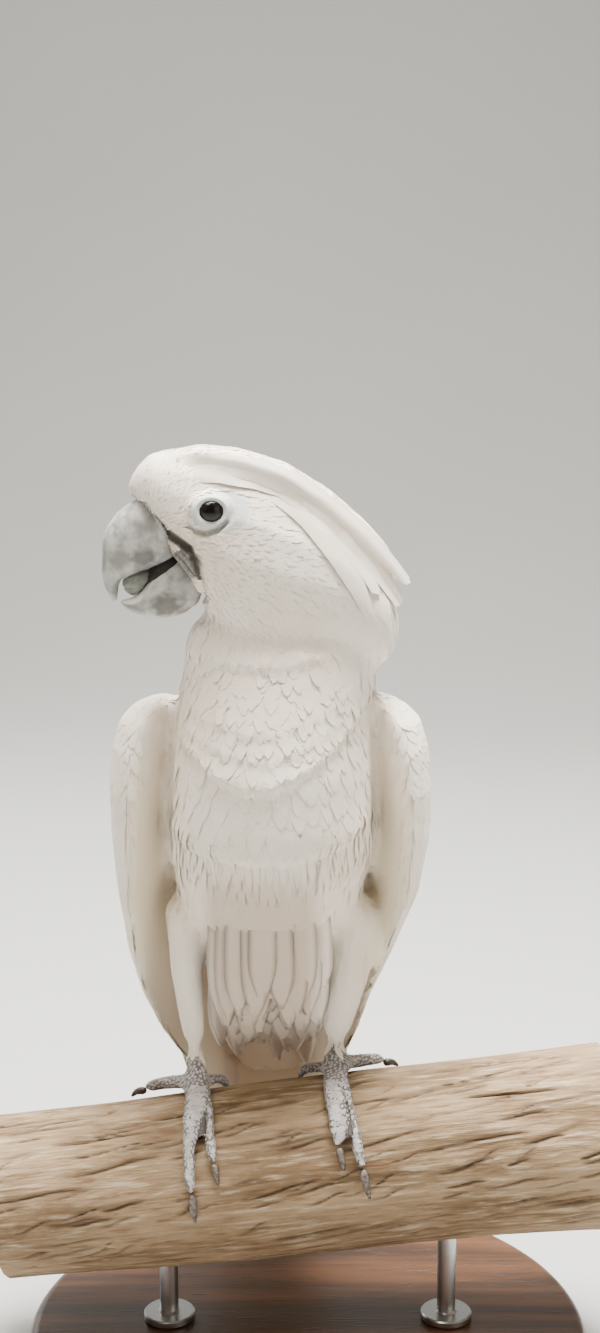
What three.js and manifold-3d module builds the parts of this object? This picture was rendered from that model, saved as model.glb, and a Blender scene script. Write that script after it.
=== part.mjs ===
// An umbrella cockatoo at life size, perched on a short cut log that a plain stand holds up.
// Millimetres, +Z up. The bird faces -Y and looks to its own right, towards -X.
// The bird is laid out in the perch frame, whose origin is the top of the log between the feet.
// The part's own origin is the middle of the underside of the stand's base.

import * as THREE from 'three';
import { mergeVertices } from 'three/addons/utils/BufferGeometryUtils.js';
import Module from 'manifold-3d';

const wasm = await Module();
wasm.setup();

// ---- driving dimensions --------------------------------------------------------------------

const GAP = 0.35; // clearance between neighbouring solids

const LOG_RADIUS = 36;
const LOG_SLOPE = THREE.MathUtils.degToRad(6.9); // the log rises towards +X
const LOG_FROM = -118; // cut ends, measured along the log from between the feet
const LOG_TO = 143;

const BASE_RADIUS = 120;
const BASE_THICK = 14;
const BASE_TOP = -104; // level of the base's upper face in the perch frame
const ROD_RADIUS = 4;
const ROD_SPREAD = 60; // each rod's distance from the middle of the base

const HEAD_TURN = THREE.MathUtils.degToRad(6); // the bill points this far in front of -X
const EYE_RADIUS = 6.4;
const TAIL_LENGTH = 142;
const WING_CHORD = 250; // wrist to tip of the longest primary

// ---- shape helpers -------------------------------------------------------------------------

/** A closed smooth form through rows of [x, y, z, side, deep, back, turn, bow].
 * The first three are the spine. `side` is the half-width along the side axis, `deep` the reach
 * along tangent x side, `back` the reach the other way. `turn` swings both axes round Z in
 * degrees, and `bow` curls the two side edges back. Both ends are rounded over `caps`, each a
 * share of the length. */
function loft(rows, { side, level = null, sides = 14, rings = 12, caps = [0.1, 0.1], square = 1 }) {
  const width = 8;
  const filled = rows.map((row) => [...row, ...Array(width - row.length).fill(0)]);
  const curve = new THREE.CubicInterpolant(rows.map((_, i) => i), filled.flat(), width);
  const last = rows.length - 1;
  const at = (s) => Array.from(curve.evaluate(THREE.MathUtils.clamp(s, 0, 1) * last));
  const point = (s) => new THREE.Vector3(...at(s).slice(0, 3));

  const form = merged(new THREE.SphereGeometry(1, sides, rings));
  const place = form.getAttribute('position');
  const up = new THREE.Vector3(0, 0, 1);
  for (let i = 0; i < place.count; i++) {
    const s = (1 - THREE.MathUtils.clamp(place.getY(i), -1, 1)) / 2;
    const round = Math.atan2(place.getZ(i), place.getX(i));
    const [, , , wide, deep, back, turn, bow] = at(s);
    const tangent = point(s + 0.01).sub(point(s - 0.01)).normalize();
    const a = new THREE.Vector3(...side).applyAxisAngle(up, THREE.MathUtils.degToRad(turn));
    if (!level) a.addScaledVector(tangent, -a.dot(tangent)).normalize();
    const b = new THREE.Vector3().crossVectors(level ? new THREE.Vector3(...level) : tangent, a);
    const fade = endFade(s, caps[0]) * endFade(1 - s, caps[1]);
    const c = Math.sign(Math.cos(round)) * Math.abs(Math.cos(round)) ** square;
    const d = Math.sign(Math.sin(round)) * Math.abs(Math.sin(round)) ** square;
    const pole = Math.abs(place.getY(i)) > 0.99999 ? 0 : 1;
    const p = point(s)
      .addScaledVector(a, wide * c * fade * pole)
      .addScaledVector(b, ((d > 0 ? deep : back) * d * fade - bow * c * c) * pole);
    place.setXYZ(i, p.x, p.y, p.z);
  }
  return form;
}

/** How full a form is at share s of its length, with a round end that takes up share cap. */
function endFade(s, cap) {
  return s < cap ? Math.sqrt(Math.max(0, 1 - (1 - s / cap) ** 2)) : 1;
}

/** A copy of a form that holds places only, with its shared corners merged. */
function merged(geometry) {
  const bare = geometry.clone();
  bare.deleteAttribute('normal');
  bare.deleteAttribute('uv');
  return mergeVertices(bare, 1e-5);
}

/** A copy of a closed form with its surface moved outwards. */
function grown(geometry, by = GAP) {
  const form = merged(geometry);
  form.computeVertexNormals();
  const place = form.getAttribute('position');
  const normal = form.getAttribute('normal');
  for (let i = 0; i < place.count; i++) {
    place.setXYZ(
      i,
      place.getX(i) + normal.getX(i) * by,
      place.getY(i) + normal.getY(i) * by,
      place.getZ(i) + normal.getZ(i) * by,
    );
  }
  form.deleteAttribute('normal');
  return form;
}

/** The mirror image of a form across the plane x = 0, with its faces still pointing out. */
function mirrored(geometry) {
  const form = merged(geometry);
  form.applyMatrix4(new THREE.Matrix4().makeScale(-1, 1, 1));
  const corners = form.getIndex();
  for (let i = 0; i < corners.count; i += 3) {
    const first = corners.getX(i);
    corners.setX(i, corners.getX(i + 1));
    corners.setX(i + 1, first);
  }
  return form;
}

/** A closed form as a solid that can be joined and cut. */
function solid(geometry) {
  const form = merged(geometry);
  return new wasm.Manifold(
    new wasm.Mesh({
      numProp: 3,
      vertProperties: Float32Array.from(form.getAttribute('position').array),
      triVerts: Uint32Array.from(form.getIndex().array),
    }),
  );
}

/** All the forms of a list joined into one solid. */
function joined(geometries) {
  return geometries.map(solid).reduce((all, one) => all.add(one));
}

/** A solid less each neighbour, keeping only its largest piece. */
function clear(body, neighbours) {
  const cut = neighbours.reduce((left, one) => left.subtract(one), body);
  return cut.decompose().reduce((best, one) => (one.volume() > best.volume() ? one : best));
}

/** The geometry of a solid. */
function shell(body) {
  const mesh = body.getMesh();
  const form = new THREE.BufferGeometry();
  form.setAttribute('position', new THREE.BufferAttribute(new Float32Array(mesh.vertProperties), 3));
  form.setIndex(new THREE.BufferAttribute(new Uint32Array(mesh.triVerts), 1));
  return form;
}

/** A flat thin slab through a point, used to part one long form in two. */
function slab(at, tilt) {
  const reach = 400;
  const sheet = new THREE.BoxGeometry(reach, reach, GAP);
  sheet.rotateY(tilt[0]);
  sheet.rotateX(tilt[1]);
  sheet.translate(...at);
  return solid(sheet);
}

// ---- finishes ------------------------------------------------------------------------------

const finish = (color, roughness, metalness = 0) =>
  new THREE.MeshStandardMaterial({ color, roughness, metalness });

const PLUMAGE = finish(0xf2ece2, 0.9);
const BILL = finish(0x8f9094, 0.6);
const TONGUE = finish(0x5d5f63, 0.5);
const EYE = finish(0x14100e, 0.08);
const SKIN = finish(0xa9a8ab, 0.75);
const CLAW = finish(0x4a4342, 0.5);
const BARK = finish(0x8c6a4e, 0.9);
const WALNUT = finish(0x4a3020, 0.4);
const STEEL = finish(0xb9bbbd, 0.35, 1);

// ---- layout --------------------------------------------------------------------------------

const perch = new THREE.Group();

/** Adds a named piece to the perch frame. */
function piece(name, form, material) {
  const mesh = new THREE.Mesh(form.isBufferGeometry ? form : shell(form), material);
  mesh.name = name;
  perch.add(mesh);
}

/** A point beside the log: distance along it, degrees round it from the top to the front, and
 * height off its surface. */
function onLog(along, angle, lift) {
  const round = THREE.MathUtils.degToRad(angle);
  const reach = LOG_RADIUS + lift;
  const rise = reach * Math.cos(round) - LOG_RADIUS;
  return [
    along * Math.cos(LOG_SLOPE) - rise * Math.sin(LOG_SLOPE),
    -reach * Math.sin(round),
    along * Math.sin(LOG_SLOPE) + rise * Math.cos(LOG_SLOPE),
  ];
}

/** Depth of the head's middle plane at a place across the view. */
const headPlane = (x) => -10 + Math.tan(HEAD_TURN) * x;
/** The head's own sideways direction, from its left side to its right. */
const HEAD_SIDE = [-Math.sin(HEAD_TURN), Math.cos(HEAD_TURN), 0];

// ---- perch and stand -----------------------------------------------------------------------

/** The weathered log: a bowed, slightly uneven round with square-cut ends. */
function logForm() {
  const length = LOG_TO - LOG_FROM;
  const form = new THREE.CylinderGeometry(1, 1, length, 22, 6);
  form.rotateZ(-Math.PI / 2);
  const place = form.getAttribute('position');
  const middle = (LOG_FROM + LOG_TO) / 2;
  for (let i = 0; i < place.count; i++) {
    const along = place.getX(i) + middle;
    const round = Math.atan2(place.getY(i), place.getZ(i));
    const reach = Math.hypot(place.getY(i), place.getZ(i));
    const swell = 1 + 0.03 * Math.sin(along / 47 + 0.4) * Math.cos(2 * round + along / 90);
    const thick = LOG_RADIUS + 2.2 * (along / LOG_TO) ** 2 * Math.sign(along);
    place.setY(i, thick * swell * reach * Math.sin(round));
    place.setZ(i, thick * swell * reach * Math.cos(round) - thick);
    place.setX(i, along);
  }
  form.rotateY(-LOG_SLOPE);
  return form;
}

const log = logForm();
log.computeBoundingBox();
const baseX = (log.boundingBox.min.x + log.boundingBox.max.x) / 2; // the base is centred under it
piece('perch_log', solid(log), BARK);

/** The round base: a turned disc with a softened upper edge. */
function baseForm() {
  const edge = 5;
  const profile = new THREE.Path();
  profile.moveTo(0, 0);
  profile.lineTo(BASE_RADIUS - 1, 0);
  profile.lineTo(BASE_RADIUS, 1);
  profile.lineTo(BASE_RADIUS, BASE_THICK - edge);
  profile.quadraticCurveTo(BASE_RADIUS, BASE_THICK, BASE_RADIUS - edge, BASE_THICK);
  profile.lineTo(0, BASE_THICK);
  const form = new THREE.LatheGeometry(profile.getPoints(2), 36);
  form.rotateX(Math.PI / 2);
  form.translate(baseX, 0, BASE_TOP - BASE_THICK);
  return form;
}

piece('stand_base', solid(baseForm()), WALNUT);

/** One rod with its round foot, standing on the base and cut to the underside of the log. */
function rodSolid(x) {
  const foot = 11;
  const footThick = 3;
  const tall = LOG_RADIUS * 2;
  const form = new THREE.LatheGeometry(
    [
      new THREE.Vector2(0, 0),
      new THREE.Vector2(foot, 0),
      new THREE.Vector2(foot, footThick - 1),
      new THREE.Vector2(foot - 1, footThick),
      new THREE.Vector2(ROD_RADIUS, footThick),
      new THREE.Vector2(ROD_RADIUS, tall),
      new THREE.Vector2(0, tall),
    ],
    12,
  );
  form.rotateX(Math.PI / 2);
  form.translate(x, 0, BASE_TOP + GAP);
  return clear(solid(form), [solid(grown(log))]);
}

[-1, 1].forEach((s, i) => piece(`stand_rod_${i + 1}`, rodSolid(baseX + s * ROD_SPREAD), STEEL));

// ---- body ----------------------------------------------------------------------------------

/** Neck and trunk in one, from inside the head down to the vent, in level rings. */
const torso = loft(
  [
    // x, y, z, half-width, to the breast, to the back
    [8, -7, 214, 37, 25, 26],
    [8.5, -5, 197, 40.5, 30, 31],
    [6, -3, 182, 40.5, 36, 35],
    [3.5, -1, 168, 40, 42, 38],
    [2.5, 0, 150, 41.5, 48, 43],
    [2.5, 1, 130, 42.5, 51, 48],
    [2, 4, 108, 42.5, 50, 51],
    [1, 10, 88, 40.5, 46, 51],
    [0, 20, 69, 36.5, 37, 45],
    [-0.5, 34, 50, 31, 28, 36],
    [-0.5, 47, 33, 25, 21, 27],
    [-0.5, 58, 18, 19, 14, 18],
  ],
  { side: [1, 0, 0], level: [0, 0, -1], sides: 18, rings: 16, caps: [0.09, 0.12], square: 0.95 },
);

/** The head, from the lores back to the nape, in upright rings square to the line of the bill. */
const skull = loft(
  [
    // x, y, z of the widest level, half-width, up to the crown, down to the throat
    [-55, headPlane(-55), 255, 7, 6, 6],
    [-47, headPlane(-47), 252, 15, 16, 13],
    [-37, headPlane(-37), 243, 21.5, 28, 17],
    [-26, headPlane(-26), 234, 26, 37.5, 27],
    [-13, headPlane(-13), 228, 29.5, 42, 38],
    [1, headPlane(1), 223, 31.5, 41, 42],
    [15, headPlane(15), 219, 31.5, 37, 38],
    [28, headPlane(28), 215, 29.5, 29, 33],
    [39, headPlane(39), 209, 26, 21, 27],
    [48, headPlane(48), 203, 21, 15, 21],
    [54, headPlane(54), 199, 14, 10, 13],
  ],
  { side: HEAD_SIDE, level: [1, 0, 0], sides: 18, rings: 14, caps: [0.1, 0.14], square: 0.95 },
);

/** The folded crest: broad feathers laid back over the crown, ragged at the tips. */
const crestRoot = [
  // x, y, z, half-width, up, down
  [-44, headPlane(-44), 264.5, 9, 2.5, 3],
  [-30, headPlane(-30), 267.7, 16, 4.5, 5],
  [-13, headPlane(-13), 265.5, 20, 5.8, 6],
  [5, headPlane(5), 259.5, 22, 6.5, 7],
  [21, headPlane(21), 248.5, 22.5, 7.5, 8],
  [35, headPlane(35), 235, 21, 8.5, 8.5],
  [45, headPlane(45), 223.5, 17, 8, 8],
  [50, headPlane(50), 215, 12, 4.5, 5],
];
const crestTips = [
  [-9, 44, 205, -2],
  [0, 57.5, 216, 4],
  [8, 55.5, 207, 1],
];
const crestForms = [
  loft(crestRoot, { side: HEAD_SIDE, sides: 12, rings: 11, caps: [0.12, 0.16] }),
  ...crestTips.map(([aside, x, z, arch]) =>
    loft(
      [
        [27, headPlane(27) + aside, 240 + arch, 6, 2.5, 2.5],
        [41, headPlane(41) + aside * 1.2, 228 + arch, 8, 2.6, 2.6],
        [x, headPlane(x) + aside * 1.2, z, 3.5, 1.2, 1.2],
      ],
      { side: HEAD_SIDE, sides: 6, rings: 5, caps: [0.2, 0.2] },
    ),
  ),
];
const crest = joined(crestForms);
const crestRoom = joined(crestForms.map((form) => grown(form)));

// ---- eyes and bill -------------------------------------------------------------------------

/** An eyeball set in the side of the head: side -1 is the bird's left, nearest the viewer. */
function eyeForm(side) {
  const ball = new THREE.SphereGeometry(EYE_RADIUS, 10, 7);
  const x = -23.2;
  const out = 21.1;
  ball.rotateX(Math.PI / 2);
  ball.translate(x + HEAD_SIDE[0] * side * out, headPlane(x) + HEAD_SIDE[1] * side * out, 246.2);
  return ball;
}

const eyes = { left: eyeForm(-1), right: eyeForm(1) };

/** A row of a form that lies along the head's middle plane. */
const headRow = (x, z, ...sizes) => [x, headPlane(x), z, ...sizes];

/** The upper mandible: a deep narrow hook that turns down over the tongue. */
const upperBill = loft(
  [
    // x, z, half-width, towards the mouth, towards the ridge
    headRow(-40.5, 243, 11, 13, 12),
    headRow(-45.5, 240, 11.3, 16.2, 12.3),
    headRow(-52.6, 233.5, 10.4, 16.8, 13.6),
    headRow(-57, 226, 8, 9.2, 10.6),
    headRow(-60.6, 221.2, 5.4, 4.4, 5.8),
    headRow(-61.7, 215.8, 3.4, 3, 3),
    headRow(-60.2, 208.8, 1.3, 1.1, 1.1),
  ],
  { side: HEAD_SIDE, sides: 12, rings: 11, caps: [0.05, 0.06], square: 0.92 },
);

/** The lower mandible: a short broad scoop whose front edge stands behind the hook. */
const lowerBill = loft(
  [
    // x, z, half-width, up, down
    headRow(-25, 216, 8, 7, 7),
    headRow(-30, 217.6, 10, 11.6, 11.8),
    headRow(-36, 215.2, 10.6, 12.9, 12.8),
    headRow(-41, 212.3, 10.6, 13.4, 10.3),
    headRow(-46, 209.4, 10, 11, 7.2),
    headRow(-50, 207.4, 8.8, 6.2, 4),
    headRow(-54, 207.9, 7.4, 2.8, 2.8),
    headRow(-58.3, 209, 5, 1.4, 1.4),
  ],
  { side: HEAD_SIDE.map((v) => -v), level: [-1, 0, 0], sides: 12, rings: 11, caps: [0.1, 0.05] },
);

/** The thick blunt tongue between the two mandibles. */
const tongueForm = loft(
  [
    headRow(-36, 220, 5.2, 3, 3),
    headRow(-43, 219, 5.4, 4, 4.2),
    headRow(-50, 217, 5.4, 5.2, 5.6),
    headRow(-57.6, 215.4, 5, 5.4, 5.6),
  ],
  { side: HEAD_SIDE, sides: 10, rings: 8, caps: [0.15, 0.25] },
);

/** The cere: a narrow fold of bare skin round the root of the upper mandible. */
const cereForm = loft(
  [
    headRow(-40.6, 243, 12.2, 12.8, 13),
    headRow(-43, 241.4, 12.5, 13.4, 13.6),
    headRow(-45.4, 240, 12, 13, 13.2),
  ],
  { side: HEAD_SIDE, sides: 10, rings: 4, caps: [0.3, 0.3], square: 0.92 },
);

// ---- wings ---------------------------------------------------------------------------------

/** Closed feathers that lie side by side, as one thin plate with a round tip for each feather.
 * `steps` says how far each tip falls short of the longest one, in order across the plate. */
function featherPlate(root, tip, side, { rootHalf, tipHalf, thick, steps }) {
  const along = new THREE.Vector3(...tip).sub(new THREE.Vector3(...root));
  const length = along.length();
  const lobe = (2 * tipHalf) / steps.length;
  const notch = 0.45 * lobe;
  const outline = new THREE.Shape();
  outline.moveTo(-rootHalf, 0);
  steps.forEach((short, i) => {
    const left = -tipHalf + i * lobe;
    const end = length - short;
    const last = i === steps.length - 1 ? notch : Math.max(notch, steps[i + 1] - short + notch / 2);
    if (i === 0) outline.lineTo(left, end - notch);
    outline.quadraticCurveTo(left, end, left + lobe / 2, end);
    outline.quadraticCurveTo(left + lobe, end, left + lobe, end - last);
  });
  outline.lineTo(rootHalf, 0);
  outline.closePath();
  const form = new THREE.ExtrudeGeometry(outline, { depth: thick, bevelEnabled: false, curveSegments: 3 });
  const y = along.normalize();
  const x = new THREE.Vector3(...side);
  x.addScaledVector(y, -x.dot(y)).normalize();
  const z = new THREE.Vector3().crossVectors(x, y);
  form.translate(0, 0, -thick / 2);
  form.applyMatrix4(new THREE.Matrix4().makeBasis(x, y, z).setPosition(...root));
  return form;
}

/** One folded wing on the +X side, in level rings that hug the body, with its longest quills.
 * `spread` moves its shoulder out from the body and `tuck` draws its lower part in. */
function wingForms(spread, tuck) {
  const body = loft(
    [
      // x, y, z, half-chord, out, in, turn, bow
      [45 + spread, 0, 170, 17, 7, 7, 12, 2],
      [49 + spread, 4, 160, 28, 11, 11, 18, 6],
      [50.5 + spread, 10, 143, 37, 12.5, 12, 22, 10],
      [50 + spread, 16, 122, 42, 12.5, 12, 24, 12],
      [48.5 + spread * 0.7, 25, 98, 45, 12, 10.5, 27, 14],
      [46.5 - tuck * 0.2, 37, 72, 45, 10.5, 8, 30, 14],
      [44 - tuck * 1.1, 52, 45, 39, 8.5, 6, 33, 12],
      [39.5 - tuck * 1.1, 67, 17, 30, 6.5, 4.5, 36, 8],
      [31 - tuck * 0.7, 81, -10, 20, 4.5, 3.2, 38, 4],
      [21 - tuck * 0.3, 93, -34, 12, 2.8, 2.2, 42, 2],
    ],
    { side: [0, 1, 0], level: [0, 0, -1], sides: 14, rings: 14, caps: [0.09, 0.08] },
  );
  const wrist = new THREE.Vector3(50, -6, 168);
  const tip = new THREE.Vector3(19 - tuck * 0.3, 101, -60);
  tip.sub(wrist).setLength(WING_CHORD).add(wrist);
  const quills = featherPlate([39 - tuck * 0.9, 66, 20], tip.toArray(), [0.55, -0.8, 0], {
    rootHalf: 15,
    tipHalf: 11,
    thick: 3,
    steps: [34, 19, 8, 0, 7],
  });
  return [body, quills];
}

const wings = {
  left: wingForms(3, 9),
  right: wingForms(0, 0).map(mirrored),
};

// ---- tail ----------------------------------------------------------------------------------

/** The tail: twelve broad feathers closed one over another, under short coverts. */
function tailForms() {
  const root = new THREE.Vector3(-0.5, 66, 52);
  const tip = new THREE.Vector3(0, 0.335, -0.942).setLength(TAIL_LENGTH).add(root);
  const coverts = loft(
    [
      // x, y, z, half-width, under, over
      [-0.5, 62, 50, 19, 10, 9],
      [-0.5, 70, 26, 23, 10, 7],
      [-0.5, 79, 0, 22, 6, 4],
      [-0.5, 88, -28, 18, 2.4, 2],
    ],
    { side: [1, 0, 0], sides: 12, rings: 8, caps: [0.12, 0.12] },
  );
  const fan = featherPlate(root.toArray(), tip.toArray(), [1, 0, 0], {
    rootHalf: 13,
    tipHalf: 31,
    thick: 3.4,
    steps: [12, 7, 3, 1, 0, 0, 1, 3, 7, 12],
  });
  return [coverts, fan];
}

const tail = tailForms();

// ---- legs and feet -------------------------------------------------------------------------

/** Everything that differs between the two feet, in log coordinates (along, degrees round). */
const FEET = {
  right: {
    hip: [-33, 8, 84],
    knee: [-34.5, 5, 50],
    ankle: [-31.5, 11, 13.5],
    pad: [-29.5, 4],
    bulk: 0.9,
    toes: [
      { path: [[-31.5, 12], [-32.8, 34], [-33.8, 58], [-33.8, 77]], girth: 3.7 },
      { path: [[-26.5, 12], [-25, 30], [-24.3, 48], [-23.5, 61]], girth: 3.4 },
      { path: [[-34, -6], [-40, -15], [-48, -23], [-55, -29]], girth: 4 },
      { path: [[-26.5, -6], [-22.5, -18], [-20.5, -33], [-19.5, -48]], girth: 3.2 },
    ],
  },
  left: {
    hip: [35, 8, 84],
    knee: [34.5, 5, 50],
    ankle: [28.5, 11, 17],
    pad: [29, 4],
    bulk: 1.15,
    toes: [
      { path: [[31.5, 12], [33, 32], [35, 54], [36.5, 74]], girth: 3.7 },
      { path: [[26.5, 12], [26.5, 28], [27, 46], [28, 60]], girth: 3.4 },
      { path: [[33, -6], [38, -14], [45, -22], [51, -29]], girth: 4 },
      { path: [[26, -6], [20, -16], [15.5, -28], [13, -44]], girth: 3.2 },
    ],
  },
};

/** The loose feathering of the thigh, from the flank to just above the ankle. */
function thighForm({ hip, knee, ankle, bulk }) {
  const cuff = [ankle[0], ankle[1] - 0.5, ankle[2] + 1.5];
  const shin = knee.map((v, i) => v + (cuff[i] - v) * 0.55);
  return loft(
    [
      [...hip, 12, 16, 18],
      [...hip.map((v, i) => v + (knee[i] - v) * 0.5), 10.5 * bulk, 13, 14],
      [...knee, 7.9 * bulk, 9, 10],
      [...shin, 6.6 * bulk, 7, 7.4],
      [...cuff, 5.2 * bulk, 5.2, 5.6],
    ],
    { side: [1, 0, 0], sides: 12, rings: 10, caps: [0.14, 0.07] },
  );
}

/** The point on the log where the toes of a foot join. */
const padPoint = ({ pad }) => onLog(pad[0], pad[1], 4.6);

/** The bare shank and the four toes, two forwards and two back. */
function footForms(foot) {
  const pad = padPoint(foot);
  const shank = loft(
    [
      [...foot.ankle.map((v, i) => v + (i === 2 ? -0.5 : 0)), 4.6, 4.6, 5],
      [...foot.ankle.map((v, i) => v + (pad[i] - v) * 0.5), 4.7, 4.6, 4.6],
      [...pad, 7.4, 4.6, 4.2],
    ],
    { side: [1, 0, 0], sides: 8, rings: 6, caps: [0.14, 0.3] },
  );
  const toes = foot.toes.map(({ path, girth }) => {
    const [first, turned] = path[0];
    const heel = onLog((foot.pad[0] + first) / 2, foot.pad[1] - 9 * Math.sign(turned), girth + 1);
    return loft(
      [
        [...heel, girth, girth, girth],
        ...path.map(([along, angle], i) => {
          const slim = girth * (1 - 0.07 * i);
          return [...onLog(along, angle, slim + 0.8), slim, slim, slim];
        }),
      ],
      { side: toeSide(path), sides: 7, rings: 8, caps: [0.12, 0.1] },
    );
  });
  return [shank, ...toes];
}

/** The direction across a toe, square to its line round the log. */
function toeSide(path) {
  const start = new THREE.Vector3(...onLog(...path[0], 0));
  const end = new THREE.Vector3(...onLog(...path[path.length - 1], 0));
  const outward = new THREE.Vector3(...onLog(...path[1], 1)).sub(
    new THREE.Vector3(...onLog(...path[1], 0)),
  );
  return end.sub(start).cross(outward).normalize().toArray();
}

/** A curved claw that carries on from the end of a toe and turns into the bark. */
function clawForm({ path, girth }) {
  const [from, to] = path.slice(-2);
  const step = to.map((v, i) => v - from[i]);
  const onward = (t) => to.map((v, i) => v + step[i] * t);
  return loft(
    [
      [...onLog(...onward(-0.12), 2.4), 1.9, 1.9, 1.9],
      [...onLog(...onward(0.28), 3), girth * 0.55, 1.9, 1.9],
      [...onLog(...onward(0.62), 2.9), 1.2, 1.4, 1.4],
      [...onLog(...onward(0.95), 1.2), 0.5, 0.5, 0.5],
    ],
    { side: toeSide(path), sides: 5, rings: 5, caps: [0.1, 0.06] },
  );
}

// ---- assembly: each solid gives way to the ones named before it ----------------------------

const eyeRooms = Object.values(eyes).map((form) => solid(grown(form)));
const upper = solid(upperBill);
const upperRoom = solid(grown(upperBill));
const lower = clear(solid(lowerBill), [upperRoom]);
const lowerRoom = solid(grown(lowerBill));
const tongue = clear(solid(tongueForm), [upperRoom, lowerRoom]);
const tongueRoom = solid(grown(tongueForm));
const cere = clear(solid(cereForm), [upperRoom, lowerRoom, tongueRoom]);
const cereRoom = solid(grown(cereForm));
const tailRoom = joined(tail.map((form) => grown(form)));

const flesh = joined([skull, torso]);
const headCut = { at: [8, 0, 192], tilt: [THREE.MathUtils.degToRad(13), 0] };
const neckCut = { at: [3, 0, 166], tilt: [0, THREE.MathUtils.degToRad(12)] };
const parted = flesh
  .subtract(slab(headCut.at, headCut.tilt))
  .subtract(slab(neckCut.at, neckCut.tilt))
  .subtract(crestRoom)
  .subtract(tailRoom)
  .decompose()
  .filter((one) => one.volume() > 1000)
  .sort((a, b) => b.boundingBox().max[2] - a.boundingBox().max[2]);
const faceRooms = [...eyeRooms, upperRoom, lowerRoom, cereRoom];

piece('head', clear(parted[0], faceRooms), PLUMAGE);
piece('crest', clear(crest, eyeRooms), PLUMAGE);
piece('neck', clear(parted[1], [lowerRoom]), PLUMAGE);
piece('trunk', parted[2], PLUMAGE);
piece('tail', joined(tail), PLUMAGE);
piece('bill_upper', upper, BILL);
piece('bill_lower', lower, BILL);
piece('cere', cere, SKIN);
piece('tongue', tongue, TONGUE);

const torsoRoom = solid(grown(torso));
const logRoom = solid(grown(log));
for (const [hand, form] of Object.entries(eyes)) {
  piece(`eye_${hand}`, clear(solid(form), [upperRoom]), EYE);
}
for (const [hand, forms] of Object.entries(wings)) {
  const wingRoom = joined(forms.map((form) => grown(form)));
  piece(`wing_${hand}`, clear(joined(forms), [torsoRoom, tailRoom, logRoom]), PLUMAGE);

  const foot = FEET[hand];
  const feet = footForms(foot);
  const claws = foot.toes.map(clawForm);
  const clawRooms = claws.map((form) => solid(grown(form)));
  const footRoom = joined(feet.map((form) => grown(form)));
  piece(
    `thigh_${hand}`,
    clear(solid(thighForm(foot)), [torsoRoom, wingRoom, tailRoom, footRoom]),
    PLUMAGE,
  );
  piece(`foot_${hand}`, clear(joined(feet), [logRoom, ...clawRooms]), SKIN);
  claws.forEach((form, i) => piece(`claw_${hand}_${i + 1}`, clear(solid(form), [logRoom]), CLAW));
}

// The part stands on the middle of its base.
perch.position.set(-baseX, 0, BASE_THICK - BASE_TOP);
const group = new THREE.Group();
group.add(perch);

export default group;
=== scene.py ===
"""The looks of an umbrella cockatoo at life size, perched on a cut log that a plain stand holds.

The bird is laid out in the perch frame: millimetres from the top of the log between the feet,
+Z up, the bird facing -Y and looking to its own right, towards -X. Blender's own units are
metres in the part's frame, and Perch turns one into the other.
"""

import logging
import math
from dataclasses import dataclass, field
from enum import Enum
from functools import partial
from typing import Callable, ClassVar, Iterable, Sequence

import bmesh
import bpy
import numpy as np
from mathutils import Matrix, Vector
from mathutils.bvhtree import BVHTree


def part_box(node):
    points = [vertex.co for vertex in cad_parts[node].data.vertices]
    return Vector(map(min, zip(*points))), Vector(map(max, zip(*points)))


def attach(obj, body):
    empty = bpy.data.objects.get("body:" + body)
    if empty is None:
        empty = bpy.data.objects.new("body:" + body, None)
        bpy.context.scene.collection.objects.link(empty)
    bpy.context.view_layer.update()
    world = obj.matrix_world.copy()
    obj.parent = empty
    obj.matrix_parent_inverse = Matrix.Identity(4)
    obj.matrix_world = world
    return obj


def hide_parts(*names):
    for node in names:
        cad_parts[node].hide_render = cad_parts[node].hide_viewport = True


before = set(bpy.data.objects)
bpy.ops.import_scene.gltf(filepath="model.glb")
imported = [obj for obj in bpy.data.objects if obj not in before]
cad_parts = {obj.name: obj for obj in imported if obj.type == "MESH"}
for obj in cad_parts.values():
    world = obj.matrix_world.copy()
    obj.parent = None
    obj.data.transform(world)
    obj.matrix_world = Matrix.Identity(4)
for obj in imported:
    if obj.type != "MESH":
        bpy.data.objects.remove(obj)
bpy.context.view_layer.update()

REPORT = logging.getLogger("cockatoo")
MM = 0.001
BAKE_MAP = "OFBake"
PATCH = 0.003  # how wide one feather's patch is on the bake map

LOG_SLOPE = math.radians(6.9)  # the log rises to the viewer's right
LOG_RADIUS = 36.0

Array = np.ndarray
Pair = tuple[float, float]
Triple = tuple[float, float, float]
Line = tuple[Pair, ...]
Piece = bpy.types.Object
Socket = bpy.types.NodeSocket
Rng = np.random.Generator
Laid = tuple[list[Vector], list[Vector]]  # a vane's vertices, and the way out at each row


# ---- places and numbers ---------------------------------------------------------------------


class Perch:
    """The perch frame, whose origin is the top of the log between the feet."""

    ORIGIN = np.array([-16.95, 0.0, 118.0])  # from the middle of the base's underside, mm
    HEAD_TURN = math.radians(6)  # the bill points this far in front of -X

    @classmethod
    def to_mm(cls, metres: Array) -> Array:
        """Turns places in metres in the part's frame to perch millimetres."""
        return np.asarray(metres, float) / MM - cls.ORIGIN

    @classmethod
    def to_metres(cls, mm: Array) -> Array:
        """Turns perch millimetres to metres in the part's frame."""
        return (np.asarray(mm, float) + cls.ORIGIN) * MM

    @classmethod
    def head_plane(cls, x: Array) -> Array:
        """Gives the depth of the head's middle plane at a place across the view."""
        return -10 + math.tan(cls.HEAD_TURN) * x

    @classmethod
    def head_side(cls) -> Array:
        """Gives the head's own sideways direction, from its left side to its right."""
        return np.array([-math.sin(cls.HEAD_TURN), math.cos(cls.HEAD_TURN), 0.0])


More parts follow.
